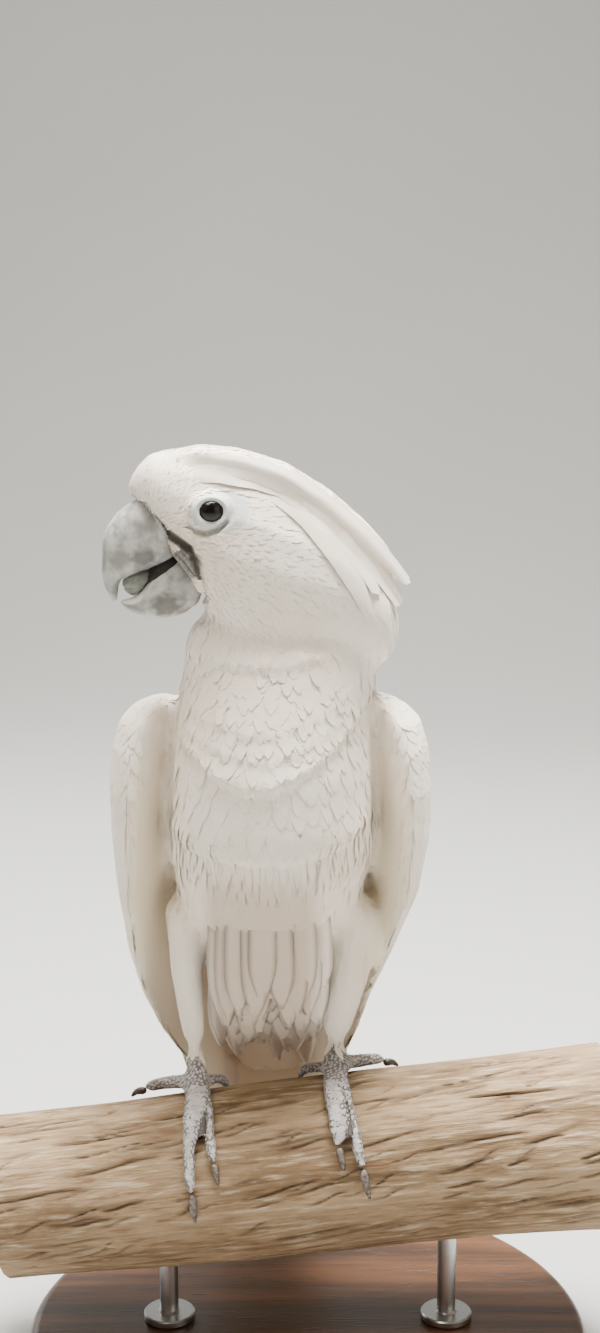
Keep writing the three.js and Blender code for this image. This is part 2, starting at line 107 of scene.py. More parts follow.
class Hand(Enum):
    """The two sides of the bird, with the sign of each along the head's sideways direction."""

    LEFT = -1
    RIGHT = 1

    @property
    def word(self) -> str:
        """The side's name as the nodes spell it."""
        return self.name.lower()


def smooth(low: float, high: float, value: Array) -> Array:
    """Rises smoothly from 0 at low to 1 at high.

    Args:
        low: Where the rise starts.
        high: Where it ends; lower than low for a fall.
        value: The numbers to look up.

    Returns:
        The share, from 0 to 1, for each number.
    """
    t = np.clip((np.asarray(value, float) - low) / (high - low), 0, 1)
    return t * t * (3 - 2 * t)


def unit(vectors: Array) -> Array:
    """Gives each vector the length 1."""
    size = np.linalg.norm(vectors, axis=-1, keepdims=True)
    return vectors / np.maximum(size, 1e-9)


def line_distance(points: Array, line: Sequence[Pair]) -> Array:
    """Measures how far flat points lie from a line of straight lengths.

    Args:
        points: Flat points, one row each.
        line: The corners of the line.

    Returns:
        The distance of each point.
    """
    best = np.full(len(points), 1e9)
    for start, end in zip(line[:-1], line[1:]):
        a = np.array(start)
        along = np.array(end) - a
        share = np.clip((points - a) @ along / (along @ along), 0, 1)
        best = np.minimum(best, np.linalg.norm(points - a - share[:, None] * along, axis=1))
    return best


def oval_reach(points: Array, middle: Pair, half: Pair) -> Array:
    """Gives flat points' distance from the middle of an oval, in its own half-widths."""
    return np.hypot(*((points - np.array(middle)) / np.array(half)).T)


def ripples(points: Array, size: float, seed: int, octaves: int = 3) -> Array:
    """Makes smooth seeded waves through space, from sums of turned sines.

    Args:
        points: Places, one row each.
        size: The length of the longest wave.
        seed: Which waves are drawn.
        octaves: How many times the waves halve in size.

    Returns:
        A number between about -1 and 1 for each place.
    """
    rng = np.random.default_rng(seed)
    total = np.zeros(len(points))
    weight = 1.0
    for _ in range(octaves):
        for _ in range(4):
            way = unit(rng.normal(size=3)) * 2 * math.pi / size * rng.uniform(0.7, 1.3)
            total += weight * np.sin(points @ way + rng.uniform(0, 2 * math.pi))
        weight *= 0.5
        size *= 0.5
    return total / 5


# ---- materials ------------------------------------------------------------------------------


def linear(code: str) -> tuple[float, float, float, float]:
    """Turns an sRGB hex colour to linear light.

    Args:
        code: Six hex digits after a hash.

    Returns:
        Red, green, blue and a full alpha.
    """
    parts = [int(code[i : i + 2], 16) / 255 for i in (1, 3, 5)]
    light = [c / 12.92 if c <= 0.04045 else ((c + 0.055) / 1.055) ** 2.4 for c in parts]
    return (light[0], light[1], light[2], 1.0)


@dataclass(frozen=True)
class Nodes:
    """One material's nodes while they are added."""

    tree: bpy.types.NodeTree

    def add(self, kind: str, links: dict | None = None, output: int | str = 0, **settings: str) -> Socket:
        """Adds one node.

        Args:
            kind: The node's type, after "ShaderNode".
            links: For each input, by name or number, a socket, a number or a hex colour.
            output: Which output is wanted, by name or number.
            **settings: The node's own properties.

        Returns:
            The output's socket.
        """
        node = self.tree.nodes.new("ShaderNode" + kind)
        for name, value in settings.items():
            setattr(node, name, value)
        for name, value in (links or {}).items():
            self.feed(node.inputs[name], value)
        return node.outputs[output]

    def feed(self, socket: Socket, value: Socket | str | float) -> None:
        """Gives an input a socket to read, a number or a hex colour.

        Args:
            socket: The input.
            value: What it gets.
        """
        if isinstance(value, bpy.types.NodeSocket):
            self.tree.links.new(value, socket)
        else:
            socket.default_value = linear(value) if isinstance(value, str) else value

    def mottle(
        self, size: float, low: float = 0.0, high: float = 0.0, detail: float = 3.0,
        stretch: Sequence[float] = (1.0, 1.0, 1.0),
    ) -> Socket:
        """Draws a pattern of soft spots on the object's own coordinates.

        Args:
            size: How far apart the spots are, metres.
            low: What becomes 0 when the contrast is stretched.
            high: What becomes 1; the same as low for no stretching.
            detail: How many finer layers there are.
            stretch: How much longer the spots are along each axis.

        Returns:
            The pattern's socket.
        """
        scale = tuple(1 / s for s in stretch)
        place = self.add("Mapping", {"Vector": self.add("TexCoord", output="Object"), "Scale": scale})
        spots = self.add("TexNoise", {"Vector": place, "Scale": 1 / size, "Detail": detail})
        if low == high:
            return spots
        return self.add("MapRange", {0: spots, 1: low, 2: high}, interpolation_type="SMOOTHSTEP")


Layer = tuple[Socket | str, float, Socket | str]  # where: a socket or attribute, how much, colour


@dataclass
class Look:
    """What a finish shows: colours laid one over another, and its relief."""

    first: Socket | str
    layers: list[Layer]
    height: Socket | None = None
    deep: float = 0.0  # the relief's full depth, metres
    rough: Socket | None = None


@dataclass(frozen=True)
class Finish:
    """A material: what every finish has in common, on the shader's own sockets."""

    name: str
    roughness: float = 0.5
    metallic: float = 0.0
    ior: float = 1.5
    sheen: float = 0.0
    coat: float = 0.0

    def make(self) -> bpy.types.Material:
        """Builds the material, or finds it if it is made already.

        Returns:
            The material.
        """
        found = bpy.data.materials.get(self.name)
        if found:
            return found
        material = bpy.data.materials.new(self.name)
        material.use_nodes = True
        nodes = Nodes(material.node_tree)
        shader = next(n for n in nodes.tree.nodes if n.type == "BSDF_PRINCIPLED")
        look = self.dress(nodes)
        tone = look.first
        for where, amount, colour in look.layers:
            if isinstance(where, str):
                where = nodes.add("Attribute", output="Fac", attribute_name=where)
            if amount != 1:
                where = nodes.add("Math", {0: where, 1: amount}, operation="MULTIPLY")
            tone = nodes.add("Mix", {0: where, 6: tone, 7: colour}, 2, data_type="RGBA")
        plain = {
            "Base Color": tone,
            "Roughness": self.roughness if look.rough is None else look.rough,
            "Metallic": self.metallic,
            "IOR": self.ior,
            "Sheen Weight": self.sheen,
            "Coat Weight": self.coat,
        }
        if look.height is not None:
            relief = {"Height": look.height, "Distance": look.deep, "Strength": 1.0}
            plain["Normal"] = nodes.add("Bump", relief)
        for socket, value in plain.items():
            nodes.feed(shader.inputs[socket], value)
        return material

    def dress(self, nodes: Nodes) -> Look:
        """Draws the pattern. Each finish has its own.

        Args:
            nodes: The material's nodes.

        Returns:
            What the finish shows.
        """
        raise NotImplementedError


@dataclass(frozen=True)
class Plumage(Finish):
    """White contour feathers: keratin barbs full of air, matt, softly lit through, dusted with
    powder down. The white is creamy, lemon yellow shows under the wings and tail, and the
    lower belly is darker: painted shade under the breast, partly the perch's dirt."""

    white: str = "#f3ebe0"
    cream: str = "#e8d7c3"
    lemon: str = "#eddfae"
    dust: str = "#bda896"  # belly feathers: painted shade under the breast, partly dulled by the perch's dirt
    belly_x: float = -0.019  # metres
    belly_top: float = 0.224
    belly_fade: float = 0.016
    belly_half: Pair = (0.027, 0.017)
    barb: float = 0.0011  # real barbs are 0.3 mm apart, drawn coarser so that they show

    def markings(self, nodes: Nodes) -> list[Layer]:
        """Draws the markings over the white that skin and feathers share, with painted shade on the lower
        belly.

        Args:
            nodes: The material's nodes.

        Returns:
            The layers of colour.
        """
        cloud = nodes.mottle(0.03, 0.35, 0.7, 2.0)
        place = nodes.add("TexCoord", output="Object")
        x, z = (nodes.add("SeparateXYZ", {0: place}, axis) for axis in (0, 2))
        # the lower belly's darker tone: painted shade under the breast, partly the perch's dirt
        shift = nodes.add("Math", {0: x, 1: self.belly_x}, operation="SUBTRACT")
        aside = nodes.add("Math", {0: shift}, operation="ABSOLUTE")
        rise = {0: z, 1: self.belly_top, 2: self.belly_top - self.belly_fade}
        low = nodes.add("MapRange", rise, interpolation_type="SMOOTHSTEP")
        outer, inner = self.belly_half
        near = nodes.add("MapRange", {0: aside, 1: outer, 2: inner}, interpolation_type="SMOOTHSTEP")
        dust_and_shade = nodes.add("Math", {0: low, 1: near}, operation="MULTIPLY")
        return [(cloud, 0.45, self.cream), (dust_and_shade, 0.75, self.dust), ("lemon", 1, self.lemon)]

    def dress(self, nodes: Nodes) -> Look:
        """Draws the barbs of each vane over the coat's markings.

        Args:
            nodes: The material's nodes.

        Returns:
            What the finish shows.
        """
        vane = nodes.add("Attribute", output="Vector", attribute_name="vane")
        aside, along, seed = (nodes.add("SeparateXYZ", {0: vane}, axis) for axis in range(3))
        reach = nodes.add("Math", {0: aside}, operation="ABSOLUTE")
        slant = nodes.add("Math", {0: along, 1: reach}, operation="SUBTRACT")
        phase = nodes.add("Math", {0: slant, 1: 2 * math.pi / self.barb}, operation="MULTIPLY")
        phase = nodes.add("Math", {0: phase, 1: seed}, operation="ADD")
        wave = nodes.add("Math", {0: phase}, operation="SINE")
        ridge = nodes.add("MapRange", {0: wave, 1: -1.0, 2: 1.0}, interpolation_type="SMOOTHSTEP")
        return Look(self.white, self.markings(nodes) + [(seed, 0.012, self.cream)], ridge, 0.00002)


@dataclass(frozen=True)
class BirdSkin(Plumage):
    """The skin under the coat: the plumage's colours where feathers cover it, blue-white round
    the eyes, slate grey and wrinkled at the gape, grey under the eyes as painted shade, dark in
    the folds as painted shade over dark skin at the bill, and pebbled on the feet."""

    eye_ring: str = "#ced1cf"
    # grey gape skin; the same grey under the eye is painted shade
    slate: tuple[str, str] = ("#726f6d", "#9a9793")
    sole: tuple[str, str] = ("#7f7b79", "#625e5c")
    # dark skin in the bill's crease, and painted shade there, in the gape's grooves and between the toes
    fold: str = "#3d3834"

    def dress(self, nodes: Nodes) -> Look:
        """Lays the bare skin's colours over the coat's markings.

        Args:
            nodes: The material's nodes.

        Returns:
            What the finish shows.
        """
        dust = nodes.mottle(0.0012, 0.35, 0.75)
        layers = self.markings(nodes) + [("bare", 1, self.eye_ring)]
        for where, (first, second) in (("slate", self.slate), ("foot", self.sole)):
            colour = nodes.add("Mix", {0: dust, 6: first, 7: second}, 2, data_type="RGBA")
            layers.append((where, 1, colour))
        layers.append(("fold", 1, self.fold))
        return Look(self.white, layers, nodes.mottle(0.0009, detail=2.0), 0.00012)


@dataclass(frozen=True)
class FootScale(Finish):
    """Scales of a parrot's foot: slate keratin plates under a pale powder that sits on their
    crowns and leaves the grooves darker."""

    powder: str = "#cfcbc9"
    worn: str = "#b3afae"
    slate: str = "#8d898a"

    def dress(self, nodes: Nodes) -> Look:
        """Mottles the powder over the slate, plate by plate.

        Args:
            nodes: The material's nodes.

        Returns:
            What the finish shows.
        """
        vane = nodes.add("Attribute", output="Vector", attribute_name="vane")
        seed = nodes.add("SeparateXYZ", {0: vane}, 2)
        layers = [(nodes.mottle(0.004, 0.3, 0.7), 1, self.worn), (seed, 0.07, self.slate)]
        return Look(self.powder, layers, nodes.mottle(0.0005, detail=2.0), 0.00005)


@dataclass(frozen=True)
class BillKeratin(Finish):
    """A cockatoo's bill: slate-black keratin greyed by powder down, rubbed off in patches near
    the cutting edges. The upper mandible is paler at the top of its root, and the lower one is
    lighter where it faces up, as a painted highlight."""

    powder: str = "#bcbcb9"
    slate: str = "#6e6d6b"
    rubbed: str = "#4e4c49"
    # paler: at the upper mandible's root, in random patches on the cere, and as a painted highlight on the
    # lower mandible's upward faces
    rim: str = "#d6d5d0"
    scuff: str = "#7c7b78"

    def dress(self, nodes: Nodes) -> Look:
        """Clouds the powder, scuffs it and rubs the worn patches dark.

        Args:
            nodes: The material's nodes.

        Returns:
            What the finish shows.
        """
        layers = [
            (nodes.mottle(0.006, 0.32, 0.68, 4.0), 0.75, self.slate),
            ("rubbed", 1, self.rubbed),
            ("rim", 1, self.rim),
            (nodes.mottle(0.0022, 0.55, 0.75, 5.0, (1.0, 1.0, 2.6)), 0.55, self.scuff),
        ]
        relief = nodes.mottle(0.0016, detail=5.0, stretch=(1.0, 1.0, 2.0))
        return Look(self.powder, layers, relief, 0.00022)


@dataclass(frozen=True)
class TongueSkin(Finish):
    """A parrot's tongue: dry, blunt and slate grey, with a horny pale plate in front."""

    top: str = "#858982"
    # the tone of the fine wrinkles, and towards the root painted shade deep in the mouth
    under: str = "#4d4f4b"

    def dress(self, nodes: Nodes) -> Look:
        """Darkens the tongue towards its root as painted shade deep in the mouth, with fine wrinkles.

        Args:
            nodes: The material's nodes.

        Returns:
            What the finish shows.
        """
        fine = nodes.mottle(0.0016, 0.35, 0.7, 4.0)
        return Look(self.top, [(fine, 0.4, self.under), ("root", 1, self.under)], fine, 0.00012)


@dataclass(frozen=True)
class WetEye(Finish):
    """A dark eye under a clear wet cornea: a brown-black iris round a black pupil."""

    pupil: str = "#040404"
    iris: tuple[str, str] = ("#120e0d", "#1a1412")
    rim: str = "#0b0908"

    def dress(self, nodes: Nodes) -> Look:
        """Paints pupil and iris by the distance from the eye's axis.

        Args:
            nodes: The material's nodes.

        Returns:
            What the finish shows.
        """
        off = nodes.add("Attribute", output="Fac", attribute_name="off_axis")
        streak = nodes.mottle(0.0008, 0.3, 0.8, 2.0)
        links = {0: streak, 6: self.iris[0], 7: self.iris[1]}
        iris = nodes.add("Mix", links, 2, data_type="RGBA")
        layers: list[Layer] = []
        for low, high, colour in ((0.36, 0.42, iris), (0.8, 0.9, self.rim)):
            ring = nodes.add("MapRange", {0: off, 1: low, 2: high}, interpolation_type="SMOOTHSTEP")
            layers.append((ring, 1, colour))
        return Look(self.pupil, layers)


@dataclass(frozen=True)
class ClawHorn(Finish):
    """Claw sheath: brown-black horn with a pale bloom along its back."""

    dark: str = "#3d332e"
    bloom: str = "#8b8079"

    def dress(self, nodes: Nodes) -> Look:
        """Streaks the bloom along the claw's back.

        Args:
            nodes: The material's nodes.

        Returns:
            What the finish shows.
        """
        streak = nodes.mottle(0.0014, 0.3, 0.75, 4.0)
        back = nodes.add("Attribute", output="Fac", attribute_name="back")
        lit = nodes.add("Math", {0: back, 1: streak}, operation="MULTIPLY")
        return Look(self.dark, [(lit, 1, self.bloom)], streak, 0.0001)


@dataclass(frozen=True)
class BareWood(Finish):
    """Weathered softwood with its bark gone: silver-tan fibres, paler on their crests as a painted
    highlight and darker in their hollows and in the checks as painted shade, stained rust brown
    along the grain, and rings on the sawn ends."""

    tan: str = "#9d8567"
    brown: str = "#735c41"
    # dark in the drying checks: painted shade
    check: str = "#3a2a1d"
    # paler on the fibres that stand high: painted highlight over the wood's own weathered tone
    silver: str = "#b4a288"
    # darker on the fibres that lie low: painted shade
    groove_shade: str = "#64462d"
    fibres: Triple = (58.0, 460.0, 460.0)  # to a metre, along and across
    bands: Triple = (17.0, 62.0, 62.0)

    def dress(self, nodes: Nodes) -> Look:
        """Draws long fibres by the log's own around and along coordinates.

        Args:
            nodes: The material's nodes.

        Returns:
            What the finish shows.
        """
        along = nodes.add("Attribute", output="Vector", attribute_name="grain")
        noises: list[Socket] = []
        for scale, detail, rough in ((self.fibres, 6.0, 0.6), (self.bands, 5.0, 0.65)):
            place = nodes.add("Mapping", {"Vector": along, "Scale": scale})
            links = {"Vector": place, "Scale": 1.0, "Detail": detail, "Roughness": rough}
            noises.append(nodes.add("TexNoise", links))
        fibre, band = noises
        layers: list[Layer] = []
        for noise, low, high, amount, colour in (
            (band, 0.35, 0.65, 1, self.brown),
            (fibre, 0.5, 0.72, 1, self.silver),
            (fibre, 0.46, 0.33, 0.6, self.groove_shade),
        ):
            share = nodes.add("MapRange", {0: noise, 1: low, 2: high}, interpolation_type="SMOOTHSTEP")
            layers.append((share, amount, colour))
        return Look(self.tan, layers + [("check", 1, self.check)], fibre, 0.0012)


@dataclass(frozen=True)
class OiledWalnut(Finish):
    """Turned walnut under satin oil: dark brown with long figure across the disc."""

    dark: str = "#3a2416"
    light: str = "#6b462c"
    pore: str = "#24160d"

    def dress(self, nodes: Nodes) -> Look:
        """Draws the figure and the pores, stretched along the board.

        Args:
            nodes: The material's nodes.

        Returns:
            What the finish shows.
        """
        figure = nodes.mottle(0.011, 0.35, 0.68, 6.0, (14.0, 1.0, 1.0))
        pores = nodes.mottle(0.0012, 0.58, 0.7, 2.0, (12.0, 1.0, 1.0))
        return Look(self.dark, [(figure, 1, self.light), (pores, 0.6, self.pore)], pores, 0.00008)


@dataclass(frozen=True)
class BrushedSteel(Finish):
    """Stainless rod, polished along its length to a soft satin."""

    bright: str = "#c2c4c6"
    dull: str = "#a7a9ab"

    def dress(self, nodes: Nodes) -> Look:
        """Varies the polish in long fine lines.

        Args:
            nodes: The material's nodes.

        Returns:
            What the finish shows.
        """
        lines = nodes.mottle(0.0007, stretch=(1.0, 1.0, 30.0))
        rough = nodes.add("MapRange", {0: lines, 3: 0.24, 4: 0.38})
        return Look(self.bright, [(lines, 1, self.dull)], rough=rough)


@dataclass(frozen=True)
class StudioPaper(Finish):
    """Seamless paper: matt, pale and even."""

    shades: tuple[str, str] = ("#b4b6b5", "#babcbb")

    def dress(self, nodes: Nodes) -> Look:
        """Gives the paper its slight unevenness.

        Args:
            nodes: The material's nodes.

        Returns:
            What the finish shows.
        """
        return Look(self.shades[0], [(nodes.mottle(0.4, detail=2.0), 1, self.shades[1])])


PLUMAGE = Plumage("feather_white", roughness=0.85, sheen=0.12)
BIRD_SKIN = BirdSkin("bird_skin", roughness=0.8, sheen=0.1)
FOOT_SCALE = FootScale("foot_scale", roughness=0.7)
BILL = BillKeratin("bill_keratin", roughness=0.55)
TONGUE = TongueSkin("tongue_skin", roughness=0.45)
# the inside of the mouth: dark mouth skin, near black as painted shade
MOUTH_AND_SHADE = TongueSkin("mouth_skin_and_shade", roughness=0.6, top="#262120", under="#151110")
EYE = WetEye("wet_eye", roughness=0.1, ior=1.33, coat=0.15)
CLAW = ClawHorn("claw_horn", roughness=0.42)
WOOD = BareWood("bare_wood", roughness=0.85)
WALNUT = OiledWalnut("oiled_walnut", roughness=0.38, coat=0.15)
STEEL = BrushedSteel("brushed_steel", roughness=0.3, metallic=1.0)
PAPER = StudioPaper("studio_paper", roughness=0.95)


# ---- mesh tools -----------------------------------------------------------------------------


def deselect() -> None:
    """Leaves nothing selected, so that an operator acts on its own piece only."""
    if bpy.context.object and bpy.context.object.mode != "OBJECT":
        bpy.ops.object.mode_set(mode="OBJECT")
    bpy.ops.object.select_all(action="DESELECT")


def pick(piece: Piece) -> None:
    """Makes one piece the only one selected, and active.

    Args:
        piece: The piece.
    """
    deselect()
    piece.select_set(True)
    bpy.context.view_layer.objects.active = piece


def read(items: Sequence, name: str, width: int = 1, kind: type = float) -> Array:
    """Reads one property of each of a mesh's items.

    Args:
        items: The mesh's vertices, faces, loops or the like.
        name: The property.
        width: How many numbers each has.
        kind: The numbers' type.

    Returns:
        One number for each item, or one row.
    """
    flat = np.zeros(len(items) * width, kind)
    items.foreach_get(name, flat)
    return flat.reshape(-1, width) if width > 1 else flat


def places(piece: Piece) -> Array:
    """Reads a piece's vertices, one row each, in metres."""
    return read(piece.data.vertices, "co", 3)


def normals(piece: Piece) -> Array:
    """Reads a piece's vertex normals, one row each."""
    return read(piece.data.vertex_normals, "vector", 3)


def put(piece: Piece, metres: Array) -> None:
    """Moves a piece's vertices to new places."""
    piece.data.vertices.foreach_set("co", np.asarray(metres, float).ravel())
    piece.data.update()


def note(piece: Piece, name: str, values: Array) -> None:
    """Stores a number or vector for each vertex as one of the piece's attributes.

    Args:
        piece: The piece.
        name: The attribute's name.
        values: One number or one row of three for each vertex.
    """
    values = np.asarray(values, float)
    kind, slot = ("FLOAT", "value") if values.ndim == 1 else ("FLOAT_VECTOR", "vector")
    layer = piece.data.attributes.new(name, kind, "POINT")
    layer.data.foreach_set(slot, values.ravel())


def dress(piece: Piece, finish: Finish, rounded: bool = True) -> None:
    """Gives a piece one finish, and smooth shading if it is rounded all over.

    Args:
        piece: The piece.
        finish: Its finish.
        rounded: Whether no face of it stays flat.
    """
    piece.data.materials.clear()
    piece.data.materials.append(finish.make())
    if rounded:
        piece.data.shade_smooth()


def edit(piece: Piece, *steps: Callable[[], object]) -> None:
    """Runs mesh operators on all of a piece, in edit mode.

    Args:
        piece: The piece.
        *steps: What is run, in order.
    """
    pick(piece)
    bpy.ops.object.mode_set(mode="EDIT")
    bpy.ops.mesh.select_all(action="SELECT")
    for step in steps:
        step()
    bpy.ops.object.mode_set(mode="OBJECT")


def use_modifier(piece: Piece, kind: str, **settings: object) -> None:
    """Adds a modifier to a piece and applies it.

    Args:
        piece: The piece.
        kind: The modifier's type.
        **settings: The modifier's properties.
    """
    pick(piece)
    modifier = piece.modifiers.new(kind.lower(), kind)
    for name, value in settings.items():
        setattr(modifier, name, value)
    bpy.ops.object.modifier_apply(modifier=modifier.name)


def copy_of(nodes: Iterable[str], name: str, grow: float = 0.0) -> Piece:
    """Copies CAD nodes into one new piece, each merged and grown a little.

    Args:
        nodes: The nodes' names.
        name: The new piece's name.
        grow: How far each surface moves out, metres, so that neighbours run together.

    Returns:
        The new piece.
    """
    whole = bmesh.new()
    for node in nodes:
        one = bmesh.new()
        one.from_mesh(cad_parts[node].data)
        bmesh.ops.remove_doubles(one, verts=one.verts, dist=1e-6)
        bmesh.ops.recalc_face_normals(one, faces=one.faces)
        one.normal_update()
        for vert, out in [(v, v.normal.copy()) for v in one.verts]:
            vert.co += out * grow
        mesh = bpy.data.meshes.new("copy")
        one.to_mesh(mesh)
        whole.from_mesh(mesh)
        bpy.data.meshes.remove(mesh)
        one.free()
    mesh = bpy.data.meshes.new(name)
    whole.to_mesh(mesh)
    whole.free()
    piece = bpy.data.objects.new(name, mesh)
    bpy.context.scene.collection.objects.link(piece)
    return piece


def largest_part(piece: Piece) -> None:
    """Deletes all but the largest connected shell of a piece.

    Args:
        piece: The piece.
    """
    mesh = bmesh.new()
    mesh.from_mesh(piece.data)
    mesh.verts.ensure_lookup_table()
    seen = [False] * len(mesh.verts)
    best: list = []
    for start in mesh.verts:
        if seen[start.index]:
            continue
        seen[start.index] = True
        shell = [start]
        for vert in shell:
            for edge in vert.link_edges:
                other = edge.other_vert(vert)
                if not seen[other.index]:
                    seen[other.index] = True
                    shell.append(other)
        if len(shell) > len(best):
            best = shell
    keep = set(best)
    bmesh.ops.delete(mesh, geom=[v for v in mesh.verts if v not in keep], context="VERTS")
    mesh.to_mesh(piece.data)
    mesh.free()


def finer(piece: Piece, chosen: Callable[[Array], Array]) -> None:
    """Splits the faces of one region of a piece into four.

    Args:
        piece: The piece.
        chosen: Says for each place in perch millimetres whether it is in the region.
    """
    inside = chosen(Perch.to_mm(places(piece)))
    mesh = bmesh.new()
    mesh.from_mesh(piece.data)
    mesh.verts.ensure_lookup_table()
    edges = [e for e in mesh.edges if all(inside[v.index] for v in e.verts)]
    bmesh.ops.subdivide_edges(mesh, edges=edges, cuts=1, use_grid_fill=True, smooth=0.0)
    mesh.to_mesh(piece.data)
    mesh.free()


def smoothed(piece: Piece, factor: float, times: int) -> None:
    """Smooths a piece's surface with the Smooth modifier."""
    use_modifier(piece, "SMOOTH", factor=factor, iterations=times)


def averaged(piece: Piece, values: Array, times: int) -> Array:
    """Spreads numbers over a piece by averaging each with its neighbours.

    Args:
        piece: The piece.
        values: One number for each vertex.
        times: How many rounds of averaging are made.

    Returns:
        The spread numbers.
    """
    pairs = read(piece.data.edges, "vertices", 2, int)
    a, b = pairs.T
    count = np.bincount(pairs.ravel(), minlength=len(values)).astype(float)
    for _ in range(times):
        total = np.bincount(a, values[b], len(values)) + np.bincount(b, values[a], len(values))
        values = (values + total) / (1 + count)
    return values


def settle(piece: Piece, slot: str, *nodes: str) -> None:
    """Rides a finished piece on the body, hides the CAD nodes that it replaces and logs its triangles.

    Args:
        piece: The piece.
        slot: A material slot's name; not used.
        *nodes: The CAD nodes that it replaces.
    """
    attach(piece, "root")
    if nodes:
        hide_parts(*nodes)
    faces = sum(len(p.vertices) - 2 for p in piece.data.polygons)
    REPORT.info("%s: %d triangles", piece.name, faces)


# ---- the skin -------------------------------------------------------------------------------


BODY_NODES = ("head", "crest", "neck", "trunk", "tail")
LIMB_NODES = ("wing_left", "wing_right", "thigh_left", "thigh_right", "foot_left", "foot_right")
FLESH = BODY_NODES + LIMB_NODES


@dataclass
class Face:
    """The places on the head that the skin and the coat both follow, in perch millimetres."""

    eye: Pair = (-23.2, 246.2)
    eye_out: float = 21.1
    eye_radius: float = 6.4
    lids: Pair = (4.8, 4.1)  # half the opening, across and up
    ring_middle: Pair = (-20.4, 245.9)
    ring: Pair = (11.8, 8.2)
    bag: Line = (
        (-32.6, 240.3), (-29.8, 238.4), (-25.5, 237.5), (-21.2, 238.8), (-17.8, 241.9),
    )
    lores: Line = ((-49.5, 247.5), (-47.1, 244.3), (-40.6, 237.7), (-31.9, 231.6))
    jaw: Line = ((-31.0, 230.5), (-27.4, 219.1), (-25.4, 210.0))
    gape: Pair = (-33.5, 225.2)
    gape_half: Pair = (6.4, 6.6)

    def flat(self, spot: Array) -> Array:
        """Gives places on the head as seen square from its side: along it and up."""
        along = spot[:, 0] + self.aside(spot) * math.sin(Perch.HEAD_TURN)
        return np.stack([along, spot[:, 2]], axis=1)

    def aside(self, spot: Array) -> Array:
        """Gives how far each place lies from the head's middle plane, to its right."""
        return (spot[:, 1] - Perch.head_plane(spot[:, 0])) * math.cos(Perch.HEAD_TURN)

    def lid_reach(self, spot: Array) -> Array:
        """Gives the distance from the eye's middle, in half-widths of the lids' opening."""
        return oval_reach(self.flat(spot), self.eye, self.lids)

    def on_side(self, spot: Array) -> Array:
        """Picks the places on the sides of the head, off its middle."""
        return smooth(9, 14, np.abs(self.aside(spot)))

    def ringed(self, spot: Array) -> Array:
        """Gives how bare each place is, in the ring of pale skin round the eye."""
        reach = oval_reach(self.flat(spot), self.ring_middle, self.ring)
        return smooth(1.12, 0.9, reach) * self.on_side(spot)

    def crescent(self, spot: Array) -> Array:
        """Gives the fold that hangs under the eye, whose grey is painted shade."""
        return smooth(1.9, 0.6, line_distance(self.flat(spot), self.bag)) * self.on_side(spot)

    def creased(self, spot: Array) -> Array:
        """Gives the crease between the bill and the feathers of the lores and jaw, dark skin with painted
        shade in it.

        Args:
            spot: Places in perch millimetres.

        Returns:
            How deep in the crease each place is, from 0 to 1.
        """
        lores = smooth(2.6, 1.3, line_distance(self.flat(spot), self.lores))
        jaw = smooth(1.7, 0.7, line_distance(self.flat(spot), self.jaw))
        front = smooth(-18, -24, spot[:, 0]) * smooth(205, 209, spot[:, 2])
        return np.maximum(lores, jaw) * front

    def gaped(self, spot: Array) -> Array:
        """Gives the bare wrinkled skin at the corner of the mouth."""
        return smooth(1.25, 0.85, oval_reach(self.flat(spot), self.gape, self.gape_half))

    def wrinkle(self, spot: Array) -> Array:
        """Gives the ridges and grooves that run down from the corner of the mouth.

        Args:
            spot: Places in perch millimetres.

        Returns:
            A height from -1 to 1 for each place.
        """
        flat = self.flat(spot)
        bend = 0.8 * np.sin(flat[:, 1] / 3.1)
        return np.sin((flat @ np.array([0.67, 0.74]) + bend) * 2 * math.pi / 2.1)

    def bare(self, spot: Array) -> Array:
        """Gives how far each place is clear of feathers, from 0 to 1."""
        parts = [self.ringed(spot), self.creased(spot), self.gaped(spot), self.crescent(spot)]
        return np.max(parts, axis=0)


